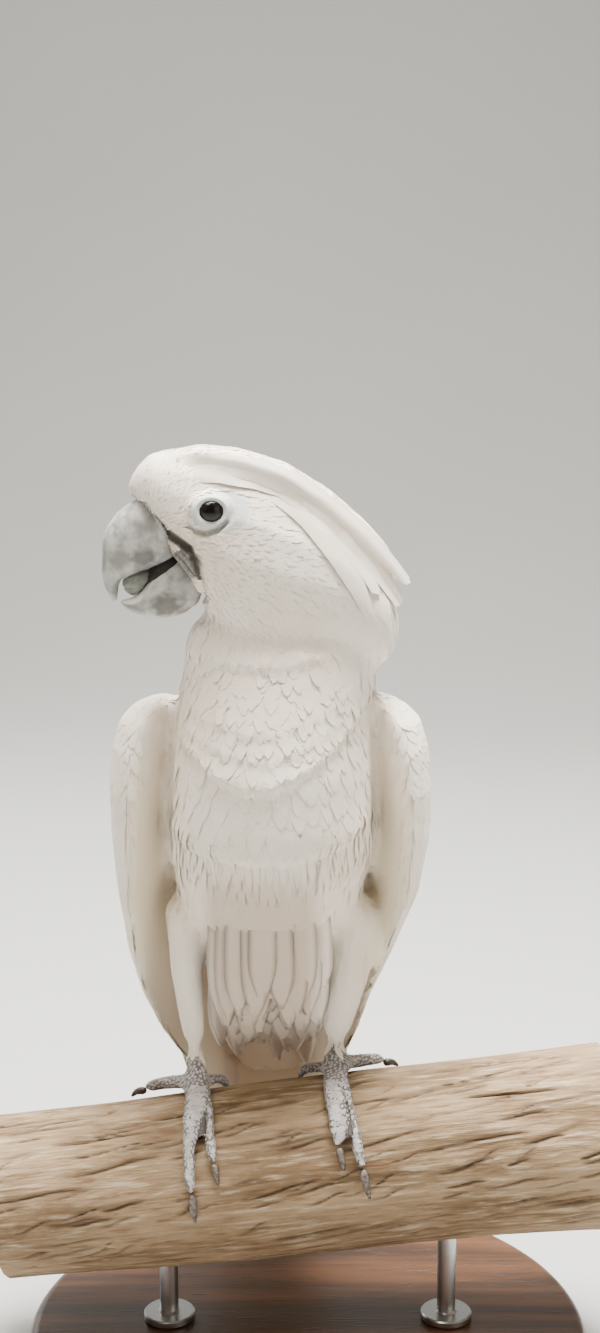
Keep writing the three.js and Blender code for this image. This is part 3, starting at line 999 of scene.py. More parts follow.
@dataclass
class Skin:
    """One skin over head, body, wings, tail, legs and feet, inside the solids by the depth of
    the coat, with lids, folds and creases sculpted in."""

    voxel: float = 0.0017
    grow: float = 0.0003
    thin: float = 0.3  # the most of a thin part's thickness that the coat takes from each side
    crease_depth: float = 2.4  # mm, as are the rest
    bag_depth: float = 0.8
    cleft_depth: float = 2.8
    wrinkle_height: float = 0.45
    lid_height: float = 0.75
    face: Face = field(default_factory=Face)
    piece: Piece = None
    region: Array = None
    tree: BVHTree = None

    depth: ClassVar[dict[str, float]] = {
        "head": 0.7, "crest": 0.9, "neck": 1.0, "trunk": 1.1, "tail": 1.1, "wing": 1.0, "thigh": 0.9,
        "foot": 0.45,
    }
    rolls: ClassVar[tuple[Triple, ...]] = (  # level, height, bend downwards
        (137.6, 2.4, 0.0173), (148, 0.9, 0.014), (158, 0.8, 0.012), (109, 2.2, 0.006), (184, 1.5, 0.006),
    )
    clefts: ClassVar[tuple[Line, ...]] = (
        ((-26.0, 7.0), (-25.9, -3.0), (-27.2, -13.0)),
        ((32.0, 9.5), (34.0, -1.0), (33.2, -14.0)),
    )

    def build(self) -> "Skin":
        """Makes the skin.

        Returns:
            The finished skin.
        """
        self.piece = copy_of(FLESH, "skin", self.grow)
        use_modifier(self.piece, "REMESH", mode="VOXEL", voxel_size=self.voxel)
        largest_part(self.piece)
        smoothed(self.piece, 0.5, 5)
        self.inset()
        smoothed(self.piece, 0.5, 2)
        for box in self.fine_boxes():
            finer(self.piece, box)
        self.region = self.regions(places(self.piece))
        self.sculpt()
        self.mark()
        self.unwrap()
        dress(self.piece, BIRD_SKIN)
        settle(self.piece, "plumage", *FLESH)
        self.tree = self.lookup(Perch.to_mm(places(self.piece)))
        return self

    def lookup(self, spots: Array) -> BVHTree:
        """Makes a tree that finds the skin's faces, numbered as its polygons are."""
        faces = [tuple(p.vertices) for p in self.piece.data.polygons]
        return BVHTree.FromPolygons([Vector(s) for s in spots], faces)

    def on(self, *nodes: str) -> Array:
        """Says for each vertex whether it is on one of some flesh nodes."""
        return np.isin(self.region, [FLESH.index(node) for node in nodes])

    def regions(self, spots: Array) -> Array:
        """Finds the flesh node nearest to each place.

        Args:
            spots: Places in metres.

        Returns:
            The node's number in FLESH for each place.
        """
        corners: list = []
        faces: list = []
        owner: list = []
        for number, node in enumerate(FLESH):
            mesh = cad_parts[node].data
            start = len(corners)
            corners.extend(v.co.copy() for v in mesh.vertices)
            faces.extend(tuple(start + i for i in p.vertices) for p in mesh.polygons)
            owner.extend([number] * len(mesh.polygons))
        tree = BVHTree.FromPolygons(corners, faces)
        return np.array([owner[tree.find_nearest(Vector(s))[2]] for s in spots])

    def inset(self) -> None:
        """Draws the surface in by the depth of the coat, less where the flesh is thin."""
        spots = places(self.piece)
        outward = normals(self.piece)
        tree = self.lookup(spots)
        thick = np.full(len(spots), 0.1)
        for i, (spot, out) in enumerate(zip(spots, outward)):
            hit = tree.ray_cast(Vector(spot - out * 1e-4), Vector(-out), 0.03)
            if hit[0] is not None:
                thick[i] = hit[3]
        kinds = [self.depth[node.split("_")[0]] * MM for node in FLESH]
        deep = np.array(kinds)[self.regions(spots)] + self.grow
        bare = self.face.bare(Perch.to_mm(spots)) * (self.regions(spots) == 0)
        deep = deep * (1 - bare) + 0.0004 * bare
        deep = np.minimum(deep, thick * self.thin)
        deep = averaged(self.piece, deep, 5)
        put(self.piece, spots - outward * deep[:, None])

    def fine_boxes(self) -> list[Callable[[Array], Array]]:
        """Lists the regions that need a finer mesh, each split once, in order.

        Returns:
            For each region, what says which places are in it.
        """
        eye = np.array(self.face.eye)

        def face_side(spot: Array) -> Array:
            """Picks the front of the head, where bill, eyes and lids are."""
            near = np.hypot(*(self.face.flat(spot) - (eye + [-6, -8])).T) < 31
            return near & (np.abs(self.face.aside(spot)) > 3)

        def eye_side(spot: Array) -> Array:
            """Picks the skin close round each eye."""
            near = np.hypot(*(self.face.flat(spot) - eye).T) < 11.5
            return near & (np.abs(self.face.aside(spot)) > 14)

        def feet(spot: Array) -> Array:
            """Picks the feet."""
            return (spot[:, 2] < 14) & (spot[:, 1] < 38) & (np.abs(spot[:, 0]) > 8)

        return [face_side, eye_side, feet]

    def sculpt(self) -> None:
        """Moves the surface for lids, folds and creases."""
        spot = Perch.to_mm(places(self.piece))
        out = normals(self.piece)
        head = self.on("head", "crest")
        face = self.face
        aside = face.aside(spot)
        side = np.sign(aside)
        reach = face.lid_reach(spot)
        d = face.flat(spot) - np.array(face.eye)
        level = np.sqrt(np.maximum(face.eye_radius**2 - (d**2).sum(axis=1), 0.0))
        ball = face.eye_out + level
        rim = face.eye_out + math.sqrt(face.eye_radius**2 - 4.5**2)
        lid = rim + 0.35 + self.lid_height * np.exp(-(((reach - 1.24) / 0.2) ** 2))
        wanted = np.where(reach < 0.97, ball - 1.1, lid)
        near = head * smooth(2.1, 1.35, reach) * (np.abs(aside) > 12)
        change = near * (wanted - np.abs(aside))
        spot = spot + (change * side)[:, None] * Perch.head_side()

        crease = head * face.creased(spot)
        folds = head * face.gaped(spot) * self.wrinkle_height * face.wrinkle(spot)
        bag = head * face.crescent(spot)
        shift = folds - self.crease_depth * crease - self.bag_depth * bag
        shift = shift + self.chest_folds(spot) - self.cleft_depth * self.toe_gap(spot)
        spot = spot + out * shift[:, None]
        put(self.piece, Perch.to_metres(spot))

    def toe_gap(self, spot: Array) -> Array:
        """Gives the cleft between each foot's two front toes, up to where they part.

        Args:
            spot: Places in perch millimetres.

        Returns:
            How deep in the cleft each place is, from 0 to 1.
        """
        feet = self.on("foot_left", "foot_right")
        flat = spot[:, [0, 2]]
        near = np.min([line_distance(flat, line) for line in self.clefts], axis=0)
        return feet * smooth(-14, -21, spot[:, 1]) * smooth(1.9, 0.3, near)

    def chest_folds(self, spot: Array) -> Array:
        """Gives the rolls of loose feathering that hang in arcs across the breast.

        Args:
            spot: Places in perch millimetres.

        Returns:
            How far each place stands out, millimetres.
        """
        body = self.on("neck", "trunk")
        front = body * smooth(0, -20, spot[:, 1]) * smooth(46, 30, np.abs(spot[:, 0] - 2))
        total = np.zeros(len(spot))
        uneven = 1.6 * ripples(spot, 17, 31)
        for level, height, bend in self.rolls:
            gap = spot[:, 2] - bend * (spot[:, 0] + 3) ** 2 - level + uneven
            hollow = 0.6 * np.exp(-np.abs(gap) / 3.5)
            lip = smooth(-1.9, 1.9, gap)
            total += height * (lip * (np.exp(-np.abs(gap) / 8) + hollow) - hollow)
        return total * front

    def mark(self) -> None:
        """Notes where the skin is bare, grey, dark in its folds as painted shade, scaled or washed with
        yellow.
        """
        spot = Perch.to_mm(places(self.piece))
        out = normals(self.piece)
        head = self.on("head")
        foot = self.on("foot_left", "foot_right")
        face = self.face
        note(self.piece, "bare", face.ringed(spot) * head)
        # grey: the gape's own skin, and painted shade under the eye
        note(self.piece, "slate", np.maximum(face.gaped(spot), 0.8 * face.crescent(spot)) * head)
        # dark: painted shade in the gape's grooves, the bill's crease and the toes' clefts, over dark skin at
        # the crease
        groove_shade = 0.75 * face.gaped(spot) * smooth(-0.1, -0.85, face.wrinkle(spot))
        creases = np.maximum(face.creased(spot), groove_shade) * head
        note(self.piece, "fold", np.maximum(creases, 0.8 * self.toe_gap(spot)))
        note(self.piece, "foot", averaged(self.piece, foot.astype(float), 2))
        note(self.piece, "lemon", lemon_wash(spot, out, self.region))

    def unwrap(self) -> None:
        """Unwraps the skin's own shape onto the bake map."""
        self.piece.data.uv_layers.new(name=BAKE_MAP)
        edit(self.piece, partial(bpy.ops.uv.smart_project, angle_limit=math.radians(66), island_margin=0.002))


def lemon_wash(spot: Array, out: Array, region: Array) -> Array:
    """Gives the yellow wash under the wings and at the root of the tail.

    Args:
        spot: Places in perch millimetres.
        out: The surface's normal at each.
        region: The flesh node's number for each.

    Returns:
        The share of yellow, from 0 to 1.
    """
    total = np.zeros(len(spot))
    for hand, sign in (("left", 1), ("right", -1)):
        on_wing = region == FLESH.index(f"wing_{hand}")
        inward = smooth(-0.1, -0.7, out[:, 0] * sign)
        total += on_wing * inward * smooth(165, 120, spot[:, 2]) * 0.3
    on_tail = region == FLESH.index("tail")
    total += on_tail * smooth(-0.2, -0.7, out[:, 1]) * smooth(-10, 10, spot[:, 2]) * 0.2
    low = (region == FLESH.index("trunk")) * smooth(24, 6, spot[:, 2])
    return np.clip(total + 0.15 * low, 0, 1)


# ---- the coat -------------------------------------------------------------------------------


@dataclass(frozen=True)
class Vane:
    """One feather's shape, in millimetres, laid along the skin from its root."""

    length: float
    width: float
    lift: float  # how high the tip stands off the skin
    rows: int = 6
    columns: int = 5
    base: float = 0.15  # how high the root stands
    camber: float = 0.25  # how much the shaft stands above the edges
    thick: float = 0.22
    rag: float = 0.05  # how uneven the tip is, as a share of the length
    round: float = 0.55  # how far the tip's corners fall back, as a share of the half-width
    narrow: float = 0.45  # the width at the root, as a share
    blunt: float = 0.75  # the width at the tip, as a share
    stray: float = 7.0  # how many degrees it may lie off the coat's lie
    loose: float = 0.1  # how much of the lift comes at random
    past: float = 3.0  # how far it may run on past an edge of the skin

    def share(self, t: float) -> float:
        """Gives the width at a share of the length, as a share of the widest.

        Args:
            t: The share of the length.

        Returns:
            The share of the width.
        """
        if t < 0.55:
            return self.narrow + (1 - self.narrow) * math.sin(t / 0.55 * math.pi / 2)
        return 1 - (1 - self.blunt) * ((t - 0.55) / 0.45) ** 2

    def faces(self) -> tuple[list[tuple[int, ...]], int]:
        """Lists the faces of one closed vane, over its own vertices.

        Returns:
            The faces, those of the top first, and how many are on the top.
        """
        rows, columns = self.rows, self.columns
        under = rows * columns
        last = columns - 1
        top = [
            (r * columns + c, (r + 1) * columns + c, (r + 1) * columns + c + 1, r * columns + c + 1)
            for r in range(rows - 1)
            for c in range(last)
        ]
        rest: list[tuple[int, ...]] = []
        for r in range(rows - 1):
            here, there = r * columns, (r + 1) * columns
            rest.append((here, under + r, under + r + 1, there))
            rest.append((under + r, here + last, there + last, under + r + 1))
        tip = (rows - 1) * columns
        rest += [(c, c + 1, under) for c in range(last)]
        rest += [(tip + c + 1, tip + c, under + rows - 1) for c in range(last)]
        return top + rest, len(top)


class Lie:
    """Which way the feathers lie at each place, in perch millimetres."""

    BILL_ROOT = Vector((-42.0, -14.4, 240.0))
    WING = Vector((-0.06, 0.33, -0.94))
    TAIL = Vector((0.0, 0.335, -0.942))
    CREST_X = (-46.0, -38.0, -30.0, -13.0, 5.0, 21.0, 35.0, 45.0, 52.0)
    CREST_Z = (262.0, 266.0, 267.7, 265.5, 259.5, 248.5, 235.0, 223.5, 213.0)

    @classmethod
    def crest(cls, x: float) -> Vector:
        """Gives the crest's own line at a place across the view."""
        rise = np.interp(x + 2, cls.CREST_X, cls.CREST_Z) - np.interp(x - 2, cls.CREST_X, cls.CREST_Z)
        return Vector((4.0, 4.0 * math.tan(Perch.HEAD_TURN), rise))

    @classmethod
    def at(cls, spot: Vector, part: str) -> Vector:
        """Gives the lie of the coat near a place.

        Args:
            spot: The place.
            part: The flesh node it is on.

        Returns:
            A direction, not yet laid on the surface.
        """
        x, _, z = spot
        kind = part.split("_")[0]
        if kind == "crest":
            return cls.crest(x).normalized()
        if kind == "head":
            down = min(max((x + 0.6 * (225 - z) - 5) / 55, 0), 1)
            away = (spot - cls.BILL_ROOT).normalized()
            return (away * (1 - down) + Vector((0.28, 0.0, -1.0)) * down).normalized()
        if kind == "wing":
            sign = -1.0 if part.endswith("right") else 1.0
            top = min(max((z - 140) / 32, 0), 1)
            way = Vector((cls.WING[0] * sign, cls.WING[1] + 0.5 * top, cls.WING[2] + 0.25 * top))
            return way.normalized()
        if kind == "tail":
            return (cls.TAIL + Vector((0.005 * x, 0, 0))).normalized()
        if kind == "thigh":
            return Vector((-0.05 * math.copysign(1, x), 0.02, -1.0)).normalized()
        low = min(max((90 - z) / 50, 0), 1)
        return Vector((0.004 * x, 0.05 + 0.45 * low, -1.0)).normalized()


def everywhere(spot: Array, out: Array) -> Array:
    """Lets feathers grow all over a patch."""
    return np.ones(len(spot), bool)


def same_size(spot: Array) -> Array:
    """Makes all the feathers of a patch one size."""
    return np.ones(len(spot))


@dataclass
class Patch:
    """One piece of the coat: where it grows, how close, and what its vanes are like."""

    name: str
    parts: tuple[str, ...]
    gap: float  # how far apart the roots are, mm
    vane: Vane
    seed: int
    where: Callable[[Array, Array], Array] = everywhere
    size: Callable[[Array], Array] = same_size
    finish: Finish = PLUMAGE
    slot: str = "plumage"
    lie: Callable[[Vector, str], Vector] = Lie.at


@dataclass
class Roots:
    """Where the vanes of a patch grow."""

    spot: Array
    out: Array
    part: Array
    uv: Array
    lemon: Array
    size: Array


class Coat:
    """Lays vanes over the skin, patch by patch."""

    REACH: float = 3.0  # how far from a vane the skin is looked for, mm
    NEAR: float = 1.6  # how far from its edge it may be
    EDGE_TURN: float = 0.6  # the least cosine between a vane and the skin under its edge
    SHAFT_TURN: float = 0.45  # the same for its shaft
    DRAW_IN: Triple = (1.0, 0.65, 0.3)  # shares of the width tried where the skin ends beside it
    PASSES: int = 5  # how often a vane is shortened to what the skin allows
    FOLDED: float = 0.08  # the most of a vane's upper side that may be turned in

    def __init__(self, skin: Skin) -> None:
        """Reads the skin's triangles, bake map and yellow wash once for all patches.

        Args:
            skin: The finished skin.
        """
        self.skin = skin
        mesh = skin.piece.data
        mesh.calc_loop_triangles()
        self.corners = read(mesh.loop_triangles, "vertices", 3, int)
        self.spots = Perch.to_mm(places(skin.piece))
        self.out = normals(skin.piece)
        self.uvs = read(mesh.uv_layers[BAKE_MAP].uv, "vector", 2)[read(mesh.loop_triangles, "loops", 3, int)]
        self.lemon = read(mesh.attributes["lemon"].data, "value")
        self.owner = skin.region[self.corners[:, 0]]
        a, b, c = (self.spots[self.corners[:, i]] for i in range(3))
        self.area = np.linalg.norm(np.cross(b - a, c - a), axis=1) / 2
        self.facing = [Vector(n) for n in read(mesh.polygons, "normal", 3)]

    def bake_places(self, roots: list[Vector]) -> Array:
        """Gives the places on the skin's bake map nearest to some roots.

        Args:
            roots: Places in perch millimetres.

        Returns:
            One row of two for each.
        """
        mesh = self.skin.piece.data
        faces = [self.skin.tree.find_nearest(root)[2] for root in roots]
        layer = mesh.uv_layers[BAKE_MAP].uv
        return np.array([layer[mesh.polygons[face].loop_start].vector[:] for face in faces])

    def roots(self, patch: Patch, rng: Rng) -> Roots:
        """Scatters roots over a patch, no two nearer than its gap.

        Args:
            patch: The patch.
            rng: The patch's own random numbers.

        Returns:
            The roots.
        """
        faces = np.nonzero(np.isin(self.owner, [FLESH.index(p) for p in patch.parts]))[0]
        area = self.area[faces]
        tries = int(area.sum() / patch.gap**2 * 9) + 50
        chosen = faces[rng.choice(len(faces), tries, p=area / area.sum())]
        mix = rng.dirichlet((1, 1, 1), tries)
        spot = np.einsum("ij,ijk->ik", mix, self.spots[self.corners[chosen]])
        out = unit(np.einsum("ij,ijk->ik", mix, self.out[self.corners[chosen]]))
        size = patch.size(spot)
        allowed = np.nonzero(patch.where(spot, out))[0]
        near = (patch.gap * size) ** 2
        cell = patch.gap * float(size[allowed].max())
        keys = np.floor(spot / cell).astype(int)
        cells: dict[tuple[int, int, int], list[int]] = {}
        kept: list[int] = []
        around = [(x, y, z) for x in (-1, 0, 1) for y in (-1, 0, 1) for z in (-1, 0, 1)]
        for i in allowed:
            x, y, z = keys[i]
            close = [j for a, b, c in around for j in cells.get((x + a, y + b, z + c), ())]
            if close:
                step = spot[close] - spot[i]
                same = out[close] @ out[i] > 0
                if np.any(((step * step).sum(axis=1) < near[i]) & same):
                    continue
            cells.setdefault((x, y, z), []).append(i)
            kept.append(i)
        uv = np.einsum("ij,ijk->ik", mix, self.uvs[chosen])
        lemon = np.einsum("ij,ij->i", mix, self.lemon[self.corners[chosen]])
        part = self.owner[chosen]
        return Roots(spot[kept], out[kept], part[kept], uv[kept], lemon[kept], size[kept])

    def lay(self, patch: Patch, root: Vector, out: Vector, part: str, size: float, rng: Rng) -> Laid:
        """Lays one vane along the skin.

        Args:
            patch: The patch it belongs to.
            root: Where it grows.
            out: The skin's normal there.
            part: The flesh node there.
            size: Its size as a share of the patch's.
            rng: The patch's random numbers.

        Returns:
            The vane's vertices, the top row by row and then the line under the shaft, and the
            skin's normal under each row.
        """
        vane = patch.vane
        find = self.skin.tree.find_nearest
        way = patch.lie(root, part)
        way = (way - out * way.dot(out)).normalized()
        veer = math.radians(rng.normal(0, vane.stray))
        way = (way * math.cos(veer) + way.cross(out) * math.sin(veer)).normalized()
        length = vane.length * size * rng.uniform(0.9, 1.1)
        path = self.walk(patch, root, out, way, part, length)
        length = (path[1][0] - path[0][0]).length * (vane.rows - 1)
        lift = vane.lift * max(0.4, 1 + vane.loose * rng.normal())
        ragged = rng.uniform(-vane.rag, vane.rag, vane.columns) * length
        shares = [2 * c / (vane.columns - 1) - 1 for c in range(vane.columns)]
        slim = min(1.0, length / vane.length / size + 0.25)
        top: list[Vector] = []
        under: list[Vector] = []
        outs: list[Vector] = []
        for r, (spot, out, way) in enumerate(path):
            t = r / (vane.rows - 1)
            across = way.cross(out).normalized()
            half = slim * vane.width * size / 2 * vane.share(t)
            height = vane.base + (lift - vane.base) * t * (1 - 0.3 * t**3)
            ends: list[Vector] = []
            for u in (-1.0, 0.0, 1.0):
                back = t * t * vane.round * half * u * u
                for share in self.DRAW_IN:
                    place = spot - across * (u * half * share) - way * back
                    found, _, face, gone = find(place, self.REACH)
                    turned = found is None or self.facing[face].dot(out) <= self.EDGE_TURN
                    if not turned and gone < self.NEAR:
                        place = found
                        break
                ends.append(place)
            left, shaft, right = ends
            sunk = max(0.0, ((left + right) / 2 - shaft).dot(out))
            shaft = shaft + out * (sunk + vane.camber * size)
            for c, u in enumerate(shares):
                edge = left * ((1 - u) / 2) + right * ((1 + u) / 2)
                place = shaft * (1 - u * u) + edge * (u * u) + way * (t**4 * ragged[c])
                top.append(place + out * height)
            under.append(top[-1 - vane.columns // 2] - out * vane.thick)
            outs.append(out.copy())
        return top + under, outs

    def walk(
        self, patch: Patch, root: Vector, out: Vector, way: Vector, part: str, length: float
    ) -> list[tuple[Vector, Vector, Vector]]:
        """Walks a vane's shaft over the skin, and straight on a little way past its edge.

        Args:
            patch: The patch the vane belongs to.
            root: Where it grows.
            out: The skin's normal there.
            way: The way it sets out.
            part: The flesh node there.
            length: How long it is where the skin does not end, mm.

        Returns:
            The place, the way out and the way on for each of its rows.
        """
        rows = patch.vane.rows
        first = (root.copy(), out, way)
        for _ in range(self.PASSES):
            step = length / (rows - 1)
            spot, out, way = first
            path = [first]
            run = length
            for r in range(1, rows):
                spot = spot + way * step
                found, _, face, _ = self.skin.tree.find_nearest(spot, self.REACH)
                held = found is not None and self.facing[face].dot(out) > self.SHAFT_TURN
                if run == length and held:
                    spot = found
                    out = (out + self.facing[face] * 1.5).normalized()
                    fresh = patch.lie(spot, part)
                    fresh = (fresh - out * fresh.dot(out)).normalized()
                    way = (way + fresh * 0.5).normalized()
                    way = (way - out * way.dot(out)).normalized()
                elif run == length:
                    run = step * (r - 1)
                path.append((spot, out, way))
            if run + patch.vane.past >= length:
                break
            length = run + patch.vane.past
        return path

    def grow(self, patch: Patch) -> None:
        """Grows one patch of the coat as one piece.

        Args:
            patch: The patch.
        """
        rng = np.random.default_rng(patch.seed)
        roots = self.roots(patch, rng)
        laid = [
            self.lay(patch, Vector(s), Vector(o), FLESH[p], z, rng)
            for s, o, p, z in zip(roots.spot, roots.out, roots.part, roots.size)
        ]
        keep = self.sound(patch.vane, laid)
        laid = [laid[i] for i in keep]
        vanes = [vertices for vertices, _ in laid]
        wide = patch.vane.width * roots.size[keep]
        long = patch.vane.length * roots.size[keep]
        uv, lemon = roots.uv[keep], roots.lemon[keep]
        piece = self.join(patch.name, patch.vane, vanes, uv, lemon, wide, long, rng)
        self.shade(piece, patch.vane, laid)
        dress(piece, patch.finish, rounded=False)
        settle(piece, patch.slot)

    def sound(self, vane: Vane, laid: list[Laid]) -> Array:
        """Picks the vanes whose upper side faces out all over, leaving out any that fold.

        Args:
            vane: The shape they share.
            laid: Each vane's vertices and the way out at each of its rows.

        Returns:
            The numbers of the vanes to keep.
        """
        rows, columns = vane.rows, vane.columns
        spots = np.array([p for p, _ in laid], float)[:, : rows * columns]
        spots = spots.reshape(len(laid), rows, columns, 3)
        body = np.array([o for _, o in laid], float)[:, :-1, None, :]
        one = spots[:, 1:, 1:] - spots[:, :-1, :-1]
        other = spots[:, :-1, 1:] - spots[:, 1:, :-1]
        facing = (unit(np.cross(one, other)) * body).sum(axis=3)
        turned = (facing < 0).mean(axis=(1, 2))
        return np.nonzero(turned < self.FOLDED)[0]

    def shade(self, piece: Piece, vane: Vane, laid: list[Laid], own: float = 0.42) -> None:
        """Shades the vanes mostly as the body under them curves, so that they read as one coat.

        Args:
            piece: The joined piece.
            vane: The shape its vanes share.
            laid: Each vane's vertices and the way out at each of its rows.
            own: How much of each vane's own form shows.
        """
        count, rows, columns = len(laid), vane.rows, vane.columns
        spots = np.array([p for p, _ in laid], float)[:, : rows * columns]
        spots = spots.reshape(count, rows, columns, 3)
        body = np.array([o for _, o in laid], float)[:, :, None, :]
        form = unit(np.cross(np.gradient(spots, axis=1), np.gradient(spots, axis=2)).reshape(-1, 3))
        form = form.reshape(spots.shape)
        form *= np.clip((form * body).sum(axis=3, keepdims=True), 0, 1)
        top = unit((body * (1 - own) + form * own).reshape(-1, 3)).reshape(count, rows * columns, 3)
        every = np.concatenate([top, unit(body.reshape(-1, 3)).reshape(count, rows, 3)], axis=1)
        mesh = piece.data
        total = read(mesh.polygons, "loop_total", kind=int)
        rounded = read(mesh.polygons, "use_smooth", kind=bool)
        every = every.reshape(-1, 3)[read(mesh.loops, "vertex_index", kind=int)]
        first = np.concatenate([[0], np.cumsum(total)[:-1]])
        outward = (read(mesh.polygons, "normal", 3) * every[first]).sum(axis=1) > 0.05
        turned = every * np.repeat(rounded | outward, total)[:, None]
        mesh.normals_split_custom_set(turned)

    def join(
        self, name: str, vane: Vane, vanes: list[list[Vector]], uv: Array, lemon: Array,
        wide: Array, long: Array, rng: Rng,
    ) -> Piece:
        """Joins laid vanes into one mesh with its bake map and attributes.

        Args:
            name: The piece's name.
            vane: The shape they share.
            vanes: Each vane's vertices.
            uv: Each root's place on the skin's bake map.
            lemon: Each vane's share of yellow.
            wide: Each vane's width, mm.
            long: Each vane's length, mm.
            rng: The patch's random numbers.

        Returns:
            The piece.
        """
        count = len(vanes)
        faces, tops = vane.faces()
        size = vane.rows * (vane.columns + 1)
        spots = np.array(vanes, float).reshape(count * size, 3)
        corner = np.array([i for f in faces for i in f])
        total = np.array([len(f) for f in faces])
        start = np.arange(count)[:, None]
        mesh = bpy.data.meshes.new(name)
        mesh.vertices.add(count * size)
        mesh.vertices.foreach_set("co", Perch.to_metres(spots).ravel())
        mesh.loops.add(count * len(corner))
        mesh.loops.foreach_set("vertex_index", (start * size + corner).ravel())
        mesh.polygons.add(count * len(faces))
        first = np.concatenate([[0], np.cumsum(total)[:-1]])
        mesh.polygons.foreach_set("loop_start", (start * len(corner) + first).ravel())
        rounded = np.arange(len(faces)) < tops
        mesh.polygons.foreach_set("use_smooth", np.tile(rounded, count))
        mesh.update(calc_edges=True)
        mesh.validate()
        piece = bpy.data.objects.new(name, mesh)
        bpy.context.scene.collection.objects.link(piece)

        aside = np.linspace(-1, 1, vane.columns)
        along = np.linspace(0, 1, vane.rows)
        across = np.concatenate([np.tile(aside, vane.rows), np.zeros(vane.rows)])
        down = np.concatenate([np.repeat(along, vane.columns), along])
        local = np.stack([across / 2, down - 0.5], axis=1) * PATCH * 0.9
        points = (np.asarray(uv)[:, None, :] + local).reshape(-1, 2)
        layer = mesh.uv_layers.new(name=BAKE_MAP)
        loops = (start * size + corner).ravel()
        layer.uv.foreach_set("vector", points[loops].ravel())
        seed = rng.uniform(0, 2 * math.pi, count)
        vane_place = np.zeros((count, size, 3))
        vane_place[:, :, 0] = across * np.asarray(wide)[:, None] / 2 * MM
        vane_place[:, :, 1] = down * np.asarray(long)[:, None] * MM
        vane_place[:, :, 2] = seed[:, None]
        note(piece, "vane", vane_place.reshape(-1, 3))
        note(piece, "lemon", np.repeat(np.asarray(lemon), size))
        return piece


@dataclass
class Plumes:
    """The patches of contour feathers, from face to ankles."""

    face: Face = field(default_factory=Face)

    def bare_free(self, spot: Array, out: Array) -> Array:
        """Keeps feathers off the bare skin of the face."""
        return self.face.bare(spot) < 0.35

    def face_size(self, spot: Array) -> Array:
        """Makes the feathers tiny at the bill and eyes and larger towards the nape."""
        root = np.array(Lie.BILL_ROOT)
        return 0.55 + 0.95 * smooth(10, 75, np.linalg.norm(spot - root, axis=1))

    def front(self, spot: Array, out: Array) -> Array:
        """Picks the breast and belly."""
        return out[:, 1] < 0.25

    def rear(self, spot: Array, out: Array) -> Array:
        """Picks the back."""
        return out[:, 1] >= 0.25

    def fringe(self, spot: Array, out: Array) -> Array:
        """Picks the loose lower edge of the belly."""
        level = 107 + 0.01 * spot[:, 0] ** 2
        return (out[:, 1] < 0) & (spot[:, 2] > level - 7) & (spot[:, 2] < level + 6)

    def wing_size(self, spot: Array) -> Array:
        """Makes the coverts small at the wrist and larger down the wing."""
        return 0.6 + 0.7 * smooth(165, 60, spot[:, 2])

    def patches(self) -> list[Patch]:
        """Lists the patches in the order they are grown.

        Returns:
            The patches.
        """
        small = Vane(
            5.0, 1.9, 0.5, rows=4, columns=3, base=0.06, camber=0.06, thick=0.05, round=0.8,
            narrow=0.5, blunt=0.5, stray=9, loose=0.3, past=0.4,
        )
        soft = Vane(
            10.5, 4.8, 0.9, rows=5, base=0.08, camber=0.12, thick=0.06, stray=11, loose=0.4, round=0.8,
            blunt=0.5, past=0.8,
        )
        broad = Vane(
            14, 6.4, 0.95, base=0.1, camber=0.14, thick=0.06, stray=10, loose=0.35, round=0.85, blunt=0.5,
            past=1.0,
        )
        wisp = Vane(
            14, 2.8, 2.6, columns=3, base=0.1, camber=0.08, thick=0.07, rag=0.1, stray=9, loose=0.3,
            blunt=0.3, round=0.9,
        )
        covert = Vane(
            13, 6.4, 0.85, rows=6, base=0.1, camber=0.12, thick=0.06, stray=3, round=0.8, blunt=0.6,
            past=0.8,
        )
        cuff = Vane(
            8.5, 3.4, 0.8, rows=5, columns=3, base=0.08, camber=0.06, thick=0.06, rag=0.08, stray=6,
            blunt=0.5, past=0.8,
        )
        wide = Vane(
            38, 9, 0.6, rows=10, base=0.15, camber=0.12, thick=0.08, stray=1.5, round=0.8, blunt=0.6,
            past=2.0,
        )
        flight = Vane(
            62, 9.5, 0.9, rows=14, base=0.3, camber=0.2, thick=0.1, stray=1, rag=0.01, blunt=0.6,
            past=0.8, narrow=0.8, round=0.9,
        )
        wings = ("wing_left", "wing_right")
        patches = [
            Patch("coat_face", ("head",), 1.25, small, 11, self.bare_free, self.face_size),
            Patch("coat_crown", ("crest",), 1.35, small, 12, size=self.face_size),
            Patch("coat_neck", ("neck",), 2.1, soft, 14),
            Patch("coat_breast", ("trunk",), 2.7, broad, 15, self.front),
            Patch("coat_back", ("trunk",), 3.1, broad, 16, self.rear),
            Patch("coat_belly_fringe", ("trunk",), 1.7, wisp, 17, self.fringe),
            Patch("coat_tail_coverts", ("tail",), 3.6, wide, 18, self.above_fan),
            Patch("coat_thighs", ("thigh_left", "thigh_right"), 1.9, cuff, 19),
        ]
        for number, wing in enumerate(wings):
            name = f"coat_{wing}"
            patches.append(Patch(f"{name}_flight", (wing,), 4.4, flight, 20 + number, self.low_wing))
            patches.append(
                Patch(f"{name}_coverts", (wing,), 2.9, covert, 30 + number, self.high_wing, self.wing_size)
            )
        return patches

    def above_fan(self, spot: Array, out: Array) -> Array:
        """Picks the root of the tail, above its long feathers."""
        return spot[:, 2] > -24

    def low_wing(self, spot: Array, out: Array) -> Array:
        """Picks the rear and lower part of a wing, where the long quills show."""
        return (spot[:, 2] < 96) & (spot[:, 2] > -30)

    def high_wing(self, spot: Array, out: Array) -> Array:
        """Picks the part of a wing under the coverts."""
        return spot[:, 2] > 62


# ---- long quills ----------------------------------------------------------------------------


